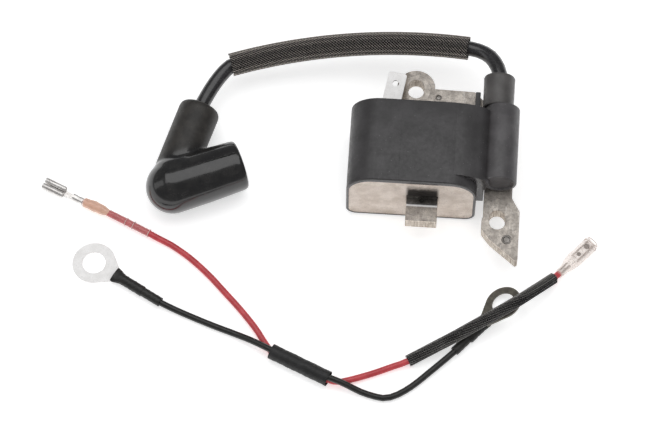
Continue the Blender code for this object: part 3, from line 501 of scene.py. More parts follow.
FINISH = {
    "case": case_plastic(),
    "tower": moulded_plastic("tower_plastic", (0.07, 0.066, 0.064), (0.1, 0.094, 0.092), 0.38),
    "resin": potting_resin(),
    "core": core_steel(),
    "tin": bright_metal(
        "tin_plate", (0.9, 0.885, 0.87), (0.98, 0.965, 0.955), 0.36, 0.35, metallic=0.04, relief=0.04,
    ),
    # Painted shade: a darker copy of the tin plate for ring b, which lies in shade.
    "painted_shade_tin": bright_metal("painted_shade_tin", (0.1, 0.094, 0.079), (0.2, 0.187, 0.158), 0.36, 0.5, metallic=0.4),
    "chrome": bright_metal(
        "nickel_plate", (0.6, 0.57, 0.55), (0.86, 0.84, 0.82), 0.24, 0.0, metallic=0.7, relief=0.01,
    ),
    "rivet": bright_metal("rivet_steel", (0.2, 0.185, 0.17), (0.36, 0.34, 0.32), 0.4, 0.7),
    "lead": smooth_rubber(
        "lead_jacket", (0.019, 0.018, 0.019), (0.031, 0.03, 0.032), 0.24, 0.35, 0.06, 0.05,
    ),
    "boot": boot_rubber(),
    "red": smooth_rubber("red_insulation", (0.5, 0.05, 0.06), (0.62, 0.072, 0.084), 0.34, 0.1, 0.08),
    "black_wire": smooth_rubber(
        "black_insulation", (0.012, 0.012, 0.011), (0.019, 0.018, 0.017), 0.38, 0.05,
    ),
    "binder": smooth_rubber(
        "binder_tube", (0.013, 0.013, 0.013), (0.022, 0.021, 0.022), 0.55, 0.0, 0.3, 0.3,
    ),
    "shrink": smooth_rubber(
        "shrink_tube", (0.012, 0.012, 0.011), (0.021, 0.02, 0.018), 0.46, 0.0, 0.3, 0.4,
    ),
    "sleeve_warp": yarn("sleeve_warp", (0.2, 0.178, 0.163), (0.88, 0.8, 0.72), (0.98, 0.94, 0.86)),
    "sleeve_weft": yarn("sleeve_weft", (0.016, 0.015, 0.014), (0.2, 0.18, 0.168)),
    "braid_warp": yarn("braid_warp", (0.08, 0.078, 0.075), (0.55, 0.53, 0.5), (0.95, 0.93, 0.88)),
    "braid_weft": yarn("braid_weft", (0.008, 0.008, 0.009), (0.035, 0.035, 0.04)),
    "sleeve_core": smooth_rubber("sleeve_core", (0.006, 0.005, 0.005), (0.014, 0.012, 0.011), 0.8),
    "clear_peach": clear_vinyl("clear_peach", (0.8, 0.5, 0.37), 0.82),
    "clear_pink": clear_vinyl("clear_pink", (0.75, 0.42, 0.4), 0.28),
    "vinyl_fold": clear_vinyl("vinyl_fold", (0.92, 0.8, 0.76), 0.85),
    "vinyl_edge": clear_vinyl("vinyl_edge", (0.55, 0.42, 0.36), 0.6),
    "clear": clear_vinyl("clear_vinyl", (0.86, 0.72, 0.64), 0.3),
    "copper": bright_metal("bare_copper", (0.42, 0.2, 0.11), (0.62, 0.33, 0.2), 0.35, 0.4, (1, 1, 3)),
    "nylon": moulded_plastic("bobbin_nylon", (0.03, 0.028, 0.025), (0.13, 0.12, 0.11), 0.22, 0.6),
    "epoxy": moulded_plastic("component_epoxy", (0.02, 0.02, 0.02), (0.035, 0.035, 0.035), 0.35, 0.1),
    "board": moulded_plastic("circuit_board", (0.02, 0.12, 0.05), (0.04, 0.2, 0.08), 0.3, 0.1),
    "hook_up": smooth_rubber("hook_up_wire", (0.45, 0.44, 0.42), (0.62, 0.6, 0.57), 0.4),
    "primary": wound_wire("primary_copper", (0.2, 0.07, 0.02), (0.6, 0.25, 0.1), 0.5),
    "secondary": wound_wire("secondary_copper", (0.25, 0.09, 0.03), (0.55, 0.26, 0.12), 0.12),
    "spring": bright_metal("spring_steel", (0.45, 0.44, 0.43), (0.7, 0.69, 0.67), 0.25, 0.3),
}


# --- Mesh helpers ------------------------------------------------------------


def linked(name, data):
    obj = bpy.data.objects.new(name, data)
    PIECES.objects.link(obj)
    return obj


def add_piece(name, mesh, finish, smooth_angle=32.0):
    """Puts a mesh, whose numbers are millimetres, in the scene in metres."""
    mesh.transform(Matrix.Scale(MM, 4))
    mesh.materials.clear()
    mesh.materials.append(FINISH[finish])
    obj = linked(name, mesh)
    mesh.shade_smooth()
    mesh.set_sharp_from_angle(angle=radians(smooth_angle))
    return obj


def baked(work, name):
    """The mesh that a BMesh has become."""
    mesh = bpy.data.meshes.new(name)
    work.to_mesh(mesh)
    work.free()
    return mesh


def mesh_of(name, points, faces):
    mesh = bpy.data.meshes.new(name)
    mesh.from_pydata([tuple(p) for p in points], [], faces)
    tidy = bmesh.new()
    tidy.from_mesh(mesh)
    bmesh.ops.remove_doubles(tidy, verts=tidy.verts, dist=1e-4)
    bmesh.ops.recalc_face_normals(tidy, faces=tidy.faces)
    tidy.to_mesh(mesh)
    tidy.free()
    return mesh


def joined(name, meshes):
    """One mesh from several, each left as it is."""
    whole = bmesh.new()
    for mesh in meshes:
        whole.from_mesh(mesh)
    mesh = baked(whole, name)
    for used in meshes:
        bpy.data.meshes.remove(used)
    return mesh


def bridge(rings, closed_ends=True):
    """Faces between equal rings of points, given as (points, faces)."""
    count = len(rings[0])
    points = [p for ring in rings for p in ring]
    faces = []
    for low in range(0, (len(rings) - 1) * count, count):
        for i in range(count):
            j = (i + 1) % count
            faces.append((low + i, low + j, low + count + j, low + count + i))
    if closed_ends:
        faces.append(tuple(reversed(range(count))))
        faces.append(tuple(range(len(points) - count, len(points))))
    return points, faces


def axis_frame(base, direction):
    """Local +Z along direction, with local X kept level."""
    z_axis = Vector(direction).normalized()
    level = Vector((0, 0, 1)) if abs(z_axis.z) < 0.9 else Vector((0, 1, 0))
    x_axis = level.cross(z_axis).normalized()
    turn = Matrix((x_axis, z_axis.cross(x_axis), z_axis)).transposed().to_4x4()
    return Matrix.Translation(base) @ turn


def lathe(profile, base, direction, sides=64, closed=False):
    """Turns (radius, height) points about an axis. A closed profile makes a hollow wall."""
    place = axis_frame(base, direction)
    rings = []
    for radius, height in [*profile, profile[0]] if closed else profile:
        ring = []
        for i in range(sides):
            angle = tau * i / sides
            ring.append(place @ Vector((radius * cos(angle), radius * sin(angle), height)))
        rings.append(ring)
    return mesh_of("lathe", *bridge(rings, not closed))


def rod(radius, low, high, base, direction, sides=64):
    """A solid cylinder between two heights along a direction."""
    return lathe([(0, low), (radius, low), (radius, high), (0, high)], base, direction, sides)


def frames_along(path):
    """(point, side, up) at each point of a path, with the frame carried along without twist."""
    path = [Vector(p) for p in path]
    frames, up = [], Vector((0, 0, 1))
    for i, point in enumerate(path):
        ahead, behind = path[min(i + 1, len(path) - 1)], path[max(i - 1, 0)]
        forward = (ahead - behind).normalized()
        side = up.cross(forward)
        side = side.normalized() if side.length > 1e-6 else Vector((1, 0, 0))
        up = forward.cross(side).normalized()
        frames.append((point, side, up))
    return frames


def sweep(path, radius_at, sides=32, close=True):
    """A tube along a path. radius_at(distance, angle) gives (radius, radius) across and up, or one radius."""
    rings, run, before = [], 0.0, None
    for point, side, up in frames_along(path):
        run += (point - before).length if before is not None else 0.0
        before = point
        ring = []
        for i in range(sides):
            angle = tau * i / sides
            radius = radius_at(run, angle)
            wide, tall = radius if isinstance(radius, tuple) else (radius, radius)
            ring.append(point + side * wide * cos(angle) + up * tall * sin(angle))
        rings.append(ring)
    return mesh_of("sweep", *bridge(rings, close))


def arc(centre, radius, start, end, steps):
    """Points on an arc between two angles in degrees, both ends included."""
    angles = (radians(start + (end - start) * i / steps) for i in range(steps + 1))
    return [(centre[0] + radius * cos(a), centre[1] + radius * sin(a)) for a in angles]


def rounded(corners, steps=8):
    """An outline from (x, y, radius) corners, each with its corner turned into an arc."""
    outline = []
    for i, (x, y, radius) in enumerate(corners):
        if not radius:
            outline.append((x, y))
            continue
        corner = Vector((x, y))
        before = (Vector(corners[i - 1][:2]) - corner).normalized()
        after = (Vector(corners[(i + 1) % len(corners)][:2]) - corner).normalized()
        half_angle = before.angle(after) / 2
        reach = radius / tan(half_angle)
        centre = corner + (before + after).normalized() * radius / sin(half_angle)
        first, last = corner + before * reach - centre, corner + after * reach - centre
        sweep_angle = first.angle_signed(last)
        for k in range(steps + 1):
            outline.append(tuple(centre + Matrix.Rotation(-sweep_angle * k / steps, 2) @ first))
    return outline


def rectangle(low, high, radii=(0, 0, 0, 0), steps=8):
    """A rectangle's outline, round from its low corner, with a radius for each corner."""
    corners = [(low[0], low[1]), (high[0], low[1]), (high[0], high[1]), (low[0], high[1])]
    return rounded([(x, y, radius) for (x, y), radius in zip(corners, radii)], steps)


def slot_outline(centre, width, length):
    """A slot with round ends that runs along Y."""
    x, y = centre
    straight = (length - width) / 2
    return arc((x, y + straight), width / 2, 0, 180, 20) + arc((x, y - straight), width / 2, 180, 360, 20)


def circle_outline(centre, radius, steps=40):
    return arc(centre, radius, 0, 360, steps)[:-1]


def plate(outlines, low, high, edge=0.08):
    """A flat outline with holes, from low to high along Z, with its edges rounded."""
    curve = bpy.data.curves.new("plate", "CURVE")
    curve.dimensions = "2D"
    curve.fill_mode = "BOTH"
    curve.extrude = (high - low) / 2 - edge
    curve.bevel_depth = edge
    curve.bevel_resolution = 2
    curve.offset = -edge
    for outline in outlines:
        spline = curve.splines.new("POLY")
        spline.points.add(len(outline) - 1)
        for point, (x, y) in zip(spline.points, outline):
            point.co = (x, y, 0, 1)
        spline.use_cyclic_u = True
    holder = linked("plate", curve)
    bpy.context.view_layer.update()
    made = holder.evaluated_get(bpy.context.evaluated_depsgraph_get())
    mesh = bpy.data.meshes.new_from_object(made)
    bpy.data.objects.remove(holder, do_unlink=True)
    bpy.data.curves.remove(curve)
    mesh.transform(Matrix.Translation((0, 0, (low + high) / 2)))
    return mesh


def sheets(outlines, low, high, count, edge=0.07):
    """A stack of stamped sheets with rounded edges, none quite in line with the next."""
    jitter = random.Random(count)
    pitch = (high - low) / count
    stack = []
    for i in range(count):
        sheet = plate(outlines, low + pitch * i, low + pitch * (i + 1) - 0.012, edge)
        shift = (jitter.uniform(-0.035, 0.035), jitter.uniform(-0.035, 0.035), 0)
        if i not in (0, count - 1):
            sheet.transform(Matrix.Translation(shift) @ Matrix.Scale(0.999, 4))
        stack.append(sheet)
    return joined("sheets", stack)


def union(target, *others, operation="UNION"):
    """Joins other objects into target with an exact Boolean, then removes them."""
    for other in others:
        modifier = target.modifiers.new(other.name, "BOOLEAN")
        modifier.operation = operation
        modifier.solver = "EXACT"
        modifier.object = other
    return apply_modifiers(target, others)


def apply_modifiers(target, spent=()):
    bpy.context.view_layer.update()
    made = target.evaluated_get(bpy.context.evaluated_depsgraph_get())
    mesh = bpy.data.meshes.new_from_object(made)
    target.modifiers.clear()
    target.data = mesh
    for other in spent:
        bpy.data.objects.remove(other, do_unlink=True)
    return target


def ride_as(obj, body, slot, *nodes):
    """The piece rides on a body and stands for the given CAD nodes, which it hides. The slot is not used."""
    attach(obj, body)
    if nodes:
        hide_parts(*nodes)
    return obj


# --- Cords -------------------------------------------------------------------


CORD_STEP = 2.6


def cord_curve(name, points, radius, finish):
    path = route(points, CORD_STEP)
    curve = bpy.data.curves.new(name, "CURVE")
    curve.dimensions = "3D"
    curve.bevel_depth = radius * MM
    curve.bevel_resolution = 10
    curve.use_fill_caps = True
    spline = curve.splines.new("POLY")
    spline.points.add(len(path) - 1)
    for point, place in zip(spline.points, path):
        point.co = (*(place * MM), 1)
    spline.use_smooth = True
    curve.materials.append(FINISH[finish])
    return linked(name, curve), path_length(path) * MM


LEAD, LEAD_LENGTH = cord_curve("plug_lead", LEAD_POINTS, LEAD_RADIUS, "lead")
RED, RED_LENGTH = cord_curve("red_wire_looks", RED_POINTS, WIRE_RADIUS, "red")
BLACK, BLACK_LENGTH = cord_curve("black_wire_looks", BLACK_POINTS, WIRE_RADIUS, "black_wire")
ride_as(LEAD, "coil_module", "lead_jacket", "lead_jacket")
ride_as(RED, "harness", "red_insulation", "red_wire")
ride_as(BLACK, "harness", "black_insulation", "black_wire")


# --- Case --------------------------------------------------------------------

CASE_LEFT, CASE_RIGHT, CASE_LOW, CASE_TOP, CASE_DEPTH = -29.3, 14.4, -13.75, 16.5, 28.8
SIDE_WALL, FRONT_WALL = 0.9, 2.2
FRONT_CORNER, BACK_CORNER = 10.0, 3.5
CORE_BACK, CORE_FRONT = 9.4, 14.6
POLE_X, POLE_WIDTH, POLE_TIP = -3.7, 10.6, -21.65
TONGUE, TONGUE_THICK = 2.1, 1.3
TOWER_X, TOWER_RADIUS, TOWER_LOW, TOWER_TOP = 21.75, 5.85, -9.2, 18.5
BUSHING_RADIUS = 5.33
# The web's section between case and tower, as (x, z)
WEB_LOW = -10.3
WEB_FRONT = [(6.2, 28.6), (8.8, 28.5), (11.3, 27.9), (13.5, 27.1), (15.4, 26.3), (16.8, 25.1), (17.8, 23.8)]
WEB_BESIDE_TOWER = [(18.7, 20.8), (16.8, 17.3), (16.8, 8.7), (16.6, 8.5)]
WEB_INSIDE_WALL = [(13.9, 8.5), (13.9, 19.2), (13.0, 22.7), (10.8, 25.6), (8.0, 27.2)]
MOULD_LINE_X, MOULD_LINE_WIDTH = -11.97, 0.18


def case_section(side, front, y):
    """The D-shaped section at a height along Y, inset at the sides and back and at the front."""
    left, right = CASE_LEFT + side, CASE_RIGHT - side
    behind, before = BACK_CORNER - side * 0.6, FRONT_CORNER - front * 0.8
    outline = rectangle((left, side), (right, CASE_DEPTH - front), (behind, behind, before, before), 16)
    return [Vector((x, y, z)) for x, z in outline]


def temp(mesh):
    """An object, still in millimetres, for a Boolean to use."""
    return linked(mesh.name, mesh)


def plate_y(outlines, low, high, edge=0.08):
    """A plate whose outline is (x, z) and which runs from low to high along Y."""
    mesh = plate(outlines, -high, -low, edge)
    mesh.transform(Matrix.Rotation(radians(90), 4, "X"))
    return mesh


def block(low, high, edge=0.15):
    """A box between two corners with rounded edges."""
    return plate([rectangle(low, high, [edge * 1.5] * 4, 4)], low[2], high[2], edge)


def as_piece(obj, name, finish, angle=32.0):
    """Turns a finished Boolean object into a piece in metres."""
    mesh = obj.data
    bpy.data.objects.remove(obj, do_unlink=True)
    mesh.name = name
    return add_piece(name, mesh, finish, angle)


TAB_FOOT, TAB_TIP, TAB_LEAN = (-16.8, CASE_TOP - 2.2), 16.3, radians(-9.0)
TAB_Z, TAB_THICK, TAB_WIDTH = 20.0, 0.8, 6.3
TAB_HOLE_HEIGHT, TAB_HOLE_RADIUS = 12.1, 1.15
TAB_PLACE = Matrix.Translation((*TAB_FOOT, 0)) @ Matrix.Rotation(TAB_LEAN, 4, "Z")


def build_case():
    """The moulded shell with rounded rims, the web that fills the corner beside the tower, and the tower."""
    edge, turns = 0.5, [radians(d) for d in (0, 22.5, 45, 67.5, 90)]
    low = [(edge * (1 - sin(a)), CASE_LOW + edge * (1 - cos(a))) for a in turns]
    high = [(edge * (1 - cos(a)), CASE_TOP - edge * (1 - sin(a))) for a in turns]
    body = mesh_of("body", *bridge([case_section(inset, inset, y) for inset, y in low + high]))
    cavity = mesh_of(
        "cavity", *bridge([case_section(SIDE_WALL, FRONT_WALL, y) for y in (CASE_LOW - 1, CASE_TOP - 2)])
    )
    front = [(p.x, p.y) for p in route([(x, z, 0) for x, z in WEB_FRONT], 0.4)]
    web = plate_y([front + WEB_BESIDE_TOWER + WEB_INSIDE_WALL], WEB_LOW, CASE_TOP - 0.2, 0.12)
    rim, tall = 0.4, TOWER_TOP - TOWER_LOW
    dished = [(1.5, 0.35), (1.1, 0.0), (rim, 0.0), (0.12, 0.12), (0, rim)]
    top = [(0, tall - rim), (0.12, tall - 0.12), (rim, tall)]
    profile = [(0, 0.35), *((TOWER_RADIUS - inset, y) for inset, y in dished + top), (0, tall)]
    tower = lathe(profile, (TOWER_X, TOWER_LOW, LEAD_Z), (0, 1, 0), 80)
    pad = block((-4.3, 1.0, TAB_Z - 1.7), (4.3, 2.75, TAB_Z + 1.7), 0.4)
    pad.transform(TAB_PLACE)
    rib = block((12.4, CASE_TOP - 1, CORE_FRONT + GAP), (14.1, 25.6, 18.6), 0.15)
    socket = rod(LEAD_RADIUS + GAP, 0, 40, (LEAD_X, -5, LEAD_Z), (0, 1, 0))
    half = POLE_WIDTH / 2 + GAP
    exit_hole = block(
        (POLE_X - half, CASE_TOP - 3, CORE_BACK - GAP), (POLE_X + half, CASE_TOP + 1, CORE_FRONT + GAP),
        0.05,
    )
    slit = block((-3.45, -3, TAB_Z - 0.7), (3.45, 5, TAB_Z + 0.7), 0.05)
    slit.transform(TAB_PLACE)
    case = temp(body)
    union(case, temp(cavity), operation="DIFFERENCE")
    union(case, temp(web), temp(rib), temp(pad))
    union(case, temp(tower))
    union(case, temp(socket), temp(exit_hole), temp(slit), operation="DIFFERENCE")
    case = as_piece(case, "case_moulding", "case", 28.0)
    ride_as(case, "coil_module", "case_plastic", "case_shell")


def build_case_details():
    """The raised line that the mould left, and the clump of sealant beside the tower."""
    half = MOULD_LINE_WIDTH / 2
    outline = rectangle((MOULD_LINE_X - half, CASE_LOW + 0.4), (MOULD_LINE_X + half, CASE_TOP - 0.5))
    line = plate([outline], CASE_DEPTH - 0.1, CASE_DEPTH, 0.03)
    ride_as(add_piece("case_mould_line", line, "case"), "coil_module", "case_plastic")
    lump = bmesh.new()
    bmesh.ops.create_icosphere(lump, subdivisions=4, radius=1.0)
    shape = random.Random(4)
    ridges = [
        (
            Vector([shape.uniform(-1, 1) for _ in range(3)]).normalized(), shape.uniform(0.05, 0.22),
        ) for _ in range(9)
    ]
    for vert in lump.verts:
        swell = 1 + sum(size * max(0.0, vert.co.normalized().dot(way)) ** 6 for way, size in ridges)
        vert.co = Vector((vert.co.x * 1.75, vert.co.y * 1.1, vert.co.z * 1.5)) * swell
        vert.co += Vector((15.9, CASE_TOP + 0.7, 16.6))
    ride_as(add_piece("tower_sealant", baked(lump, "lump"), "case", 180.0), "coil_module", "case_plastic")


def build_resin():
    """The cast face: level in the middle, creeping up where it wets the walls and the pole."""
    rings = []
    steps = [(0.0, 0.02), (0.12, 0.12), (0.35, 0.3), (0.8, 0.45), (1.6, 0.52), (3.0, 0.55)]
    for inset, depth in steps:
        rings.append(
            case_section(SIDE_WALL + 0.02 + inset, FRONT_WALL + 0.02 + inset, CASE_LOW + 0.12 + depth)
        )
    back = case_section(SIDE_WALL + 0.02, FRONT_WALL + 0.02, CASE_LOW + 3.0)
    resin = temp(mesh_of("resin", *bridge([back, *rings])))
    half = POLE_WIDTH / 2 + 0.06
    hole = block(
        (POLE_X - half, CASE_LOW - 3, CORE_BACK - 0.06), (
            POLE_X + half, CASE_LOW + 5, CORE_FRONT + TONGUE_THICK,
        ), 0.03
    )
    union(resin, temp(hole), operation="DIFFERENCE")
    resin = as_piece(resin, "resin_face", "resin", 40.0)
    ride_as(resin, "coil_module", "potting_resin", "potting_resin")


def build_collar():
    """The bobbin's notched and grooved tongue on the pole, and a bright strip in front of it that is a
    painted highlight.
    """
    half = POLE_WIDTH / 2 - 0.1
    outline = rectangle(
        (POLE_X - half, CASE_LOW - TONGUE), (POLE_X + half, CASE_LOW + 2.5), (0.35, 0.35, 0, 0)
    )
    strip = temp(plate([outline], CORE_FRONT + 0.05, CORE_FRONT + TONGUE_THICK - 0.05, 0.2))
    notch = temp(
        lathe(
            [(0, 0), (0.75, 0), (1.3, 3), (0, 3)], (POLE_X, CASE_LOW - 1.0, CORE_FRONT + 0.35),
            (0, 0, 1), 40,
        )
    )
    groove = temp(
        block(
            (POLE_X - 6, CASE_LOW - 0.62, CORE_FRONT + 0.95),
            (POLE_X + 6, CASE_LOW - 0.3, CORE_FRONT + 3), 0.03,
        )
    )
    union(strip, notch, groove, operation="DIFFERENCE")
    collar = as_piece(strip, "bobbin_tongue", "nylon")
    ride_as(collar, "coil_module", "bobbin_nylon", "pole_collar")
    # Painted highlight: a thin strip of bright tin across the pole where the tongue ends.
    painted_light = block(
        (POLE_X - half, CASE_LOW - TONGUE - 0.6, CORE_FRONT - 0.02),
        (POLE_X + half, CASE_LOW - TONGUE - 0.04, CORE_FRONT + 0.35), 0.03,
    )
    ride_as(add_piece("pole_painted_highlight", painted_light, "tin"), "coil_module", "core_steel")


# --- Core --------------------------------------------------------------------

HALF_WIDTH, HALF_HEIGHT = 29.3, 34.25
YOKE_LOW, YOKE_TOP = CASE_TOP + GAP, 27.75
LUG_X, LUG_RADIUS = -7.9, HALF_HEIGHT - YOKE_TOP
SLOT_WIDTH, SLOT_LENGTH = 5.4, 6.9
LUG_SLOT, LEG_SLOT = (LUG_X, 27.3), (21.9, -19.6)
LEG_LEFT, LEG_NARROW_RIGHT = 17.1, 26.5
YOKE_RIVET, LEG_RIVET = (-0.1, 24.6), (25.3, -26.6)
SHEET_COUNT = 13


def ring_mark(centre, radius, width, top, depth=0.1):
    """A shallow raised ring, as a stamping tool leaves it."""
    profile = [
        (radius - width, 0), (radius - width / 2, depth), (radius + width / 2, depth),
        (radius + width, 0),
    ]
    profile = [*profile, (radius + width, -depth), (radius - width, -depth)]
    return lathe(profile, (*centre, top), (0, 0, 1), 72, closed=True)


def build_core():
    outline = rounded(
        [
            (LUG_X - LUG_RADIUS, YOKE_LOW, 0), (LEG_LEFT, YOKE_LOW, 0), (LEG_LEFT, -18.6, 0.6),
            (16.7, -19.4, 0.4), (16.7, -23.3, 0.6), (19.6, -27.0, 0.4), (28.6, -HALF_HEIGHT, 0.4),
            (HALF_WIDTH, -33.6, 0.3), (HALF_WIDTH, -16.1, 1.5), (LEG_NARROW_RIGHT, -11.4, 2.0),
            (LEG_NARROW_RIGHT, 13.2, 1.0), (12.1, YOKE_TOP - 0.3, 0.5),
            (LUG_X + LUG_RADIUS, YOKE_TOP, 1.2),
        ]
    )
    lug = arc((LUG_X, YOKE_TOP), LUG_RADIUS, 8, 180, 40)
    holes = [
        slot_outline(LUG_SLOT, SLOT_WIDTH, SLOT_LENGTH), slot_outline(LEG_SLOT, SLOT_WIDTH, SLOT_LENGTH),
        circle_outline(YOKE_RIVET, 1.0), circle_outline(LEG_RIVET, 1.65),
    ]
    frame_mesh = sheets([outline + lug, *holes], CORE_BACK, CORE_FRONT, SHEET_COUNT)
    core = ride_as(
        add_piece("core_sheets", frame_mesh, "core", 40.0), "coil_module", "core_steel", "core_frame",
    )
    half = POLE_WIDTH / 2
    pole_outline = rectangle((POLE_X - half, POLE_TIP), (POLE_X + half, CASE_TOP), (0.3, 0.3, 0, 0))
    ride_as(
        add_piece("pole_sheets", sheets([pole_outline], CORE_BACK, CORE_FRONT, SHEET_COUNT), "core", 40.0),
        "coil_module", "core_steel", "core_pole",
    )
    ride_as(
        add_piece("lug_ring_mark", ring_mark(LUG_SLOT, 5.1, 0.14, CORE_FRONT - 0.02, 0.05), "core"),
        "coil_module", "core_steel",
    )
    for name, node, centre, radius in (
        ("rivet_yoke_looks", "core_rivet_yoke", YOKE_RIVET, 0.93),
        ("rivet_leg_looks", "core_rivet_leg", LEG_RIVET, 1.58),
    ):
        depth = CORE_FRONT - CORE_BACK
        profile = [
            *[
                (0, 0.05), (radius - 0.15, 0.05), (radius, 0.2), (radius, depth - 0.12),
                (radius - 0.1, depth - 0.02),
            ],
            *[
                (radius * 0.8, depth - 0.02), (radius * 0.62, depth - 0.3),
                (radius * 0.25, depth - 0.34), (0, depth - 0.2),
            ],
        ]
        ride_as(
            add_piece(name, lathe(profile, (*centre, CORE_BACK), (0, 0, 1), 48), "rivet", 40.0),
            "coil_module", "rivet_steel", node,
        )


def build_kill_tab():
    half = TAB_WIDTH / 2
    outline = rectangle((-half, 0.4), (half, TAB_TIP), (0, 0, 1.1, 1.1))
    hole = circle_outline((0.0, TAB_HOLE_HEIGHT), TAB_HOLE_RADIUS)
    blade = plate([outline, hole], TAB_Z - TAB_THICK / 2, TAB_Z + TAB_THICK / 2, 0.16)
    dimple = lathe(
        [(1.15, 0.0), (1.55, 0.05), (1.9, 0.0), (1.9, -0.1), (1.15, -0.1)],
        (0.0, TAB_HOLE_HEIGHT, TAB_Z + TAB_THICK / 2), (0, 0, 1), 48, closed=True,
    )
    mesh = joined("kill_tab_looks", [blade, dimple])
    mesh.transform(TAB_PLACE)
    ride_as(add_piece("kill_tab_blade", mesh, "tin", 35.0), "coil_module", "tin_plate", "kill_tab")


def build_bushing():
    base, length = TOWER_TOP + 0.02, TOWER_MOUTH - TOWER_TOP - 0.02
    bore = LEAD_RADIUS + 0.12
    inside = [(bore, 0), (bore, length - 0.5), (bore + 0.35, length - 0.12), (bore + 0.7, length)]
    outside = [(0.5, length), (0.15, length - 0.15), (0, length - 0.5), (0.07, length - 1.3)]
    outside = [*outside, (0.12, 1.0), (0.05, 0.35), (0.25, 0)]
    profile = [*inside, *((BUSHING_RADIUS - inset, y) for inset, y in outside)]
    wall = lathe(profile, (LEAD_X, base, LEAD_Z), (0, 1, 0), 80, closed=True)
    ride_as(
        add_piece("tower_bushing_looks", wall, "tower"), "coil_module", "bushing_plastic",
        "tower_bushing",
    )


# --- Boot --------------------------------------------------------------------

BOOT_VOXEL = 0.42
HOOD = [(0, 2.2, 8.7), (13, 1.2, 8.0)]  # two balls: how far along the barrel and the neck, and radius
FLASH_TILT = radians(84)  # from the surface up to the flash line, round the barrel


def build_boot():
    """Neck and barrel melted into one moulding, with the plug bore open at the barrel's lipped mouth."""
    neck_dir, barrel_dir = heading(NECK_ANGLE), heading(BARREL_ANGLE)
    neck = [
        (0, -2.0), (NECK_RADIUS - 0.35, -2.0), (NECK_RADIUS - 0.1, 8), (NECK_RADIUS, NECK_LENGTH - 1.6),
        (NECK_RADIUS - 0.3, NECK_LENGTH - 0.5), (NECK_RADIUS - 1.0, NECK_LENGTH), (0, NECK_LENGTH),
    ]
    dome = [(BARREL_RADIUS * sin(a), -BARREL_RADIUS * cos(a)) for a in map(radians, range(0, 91, 6))]
    barrel = [
        *dome, (BARREL_RADIUS - 0.1, BARREL_LENGTH * 0.5), (BARREL_RADIUS - 0.5, BARREL_LENGTH - 1.6),
        (BARREL_RADIUS - 0.75, BARREL_LENGTH - 0.5), (BARREL_RADIUS - 1.3, BARREL_LENGTH),
        (0, BARREL_LENGTH),
    ]
    neck, barrel = lathe(neck, NECK_FOOT, neck_dir, 96), lathe(barrel, DOME, barrel_dir, 96)
    lead_bore = rod(LEAD_RADIUS + 0.1, -1, 6, NECK_RIM - neck_dir * 4.5, neck_dir, 48)
    plug_bore = [
        (0, 0), (PLUG_BORE - 1, 0), (PLUG_BORE, 1), (PLUG_BORE, BARREL_LENGTH + 1),
        (0, BARREL_LENGTH + 1),
    ]
    plug_bore = lathe(plug_bore, DOME, barrel_dir, 72)
    # The hood swells between the neck and the barrel, so that the one runs into the other as a saddle.
    hood = bmesh.new()
    for along_barrel, along_neck, radius in HOOD:
        centre = DOME + barrel_dir * along_barrel + neck_dir * along_neck
        bmesh.ops.create_uvsphere(
            hood, u_segments=48, v_segments=32, radius=radius, matrix=Matrix.Translation(centre)
        )
    bmesh.ops.delete(hood, geom=list(hood.edges), context="EDGES_FACES")
    bmesh.ops.convex_hull(hood, input=hood.verts)
    bmesh.ops.delete(hood, geom=[v for v in hood.verts if not v.link_faces], context="VERTS")
    boot = temp(barrel)
    union(boot, temp(neck), temp(baked(hood, "hood")))
    union(boot, temp(lead_bore), temp(plug_bore), operation="DIFFERENCE")
    remesh = boot.modifiers.new("melt", "REMESH")
    remesh.mode, remesh.voxel_size, remesh.adaptivity = "VOXEL", BOOT_VOXEL, 0.0
    relax = boot.modifiers.new("relax", "SMOOTH")
    relax.factor, relax.iterations = 0.5, 10
    apply_modifiers(boot)
    boot = as_piece(boot, "boot_moulding", "boot", 180.0)
    ride_as(boot, "plug_boot", "boot_rubber", "boot_body")


def build_boot_lines():
    """The flash that the mould left along the barrel."""
    barrel_dir = heading(BARREL_ANGLE)
    across = Vector((-barrel_dir.y, barrel_dir.x, 0))
    radial = across * cos(FLASH_TILT) + Vector((0, 0, 1)) * sin(FLASH_TILT)
    path = [
        DOME + barrel_dir * d + radial * (BARREL_RADIUS - 0.04) for d in [4 + i * 0.2 for i in range(95)]
    ]
    flash = sweep(path, lambda run, angle: (0.16 + 0.07 * sin(run * 4.2), 0.07 + 0.04 * sin(run * 2.3)), 12)
    ride_as(add_piece("boot_flash_line", flash, "binder", 180.0), "plug_boot", "boot_rubber")


# --- Braids ------------------------------------------------------------------


YARN_SECTION = [(-1, -0.5), (-0.45, 0.6), (0.45, 0.6), (1, -0.5)]  # across in half widths, crown in lifts
SLEEVE_LIFT, BRAID_LIFT = 0.13, 0.09


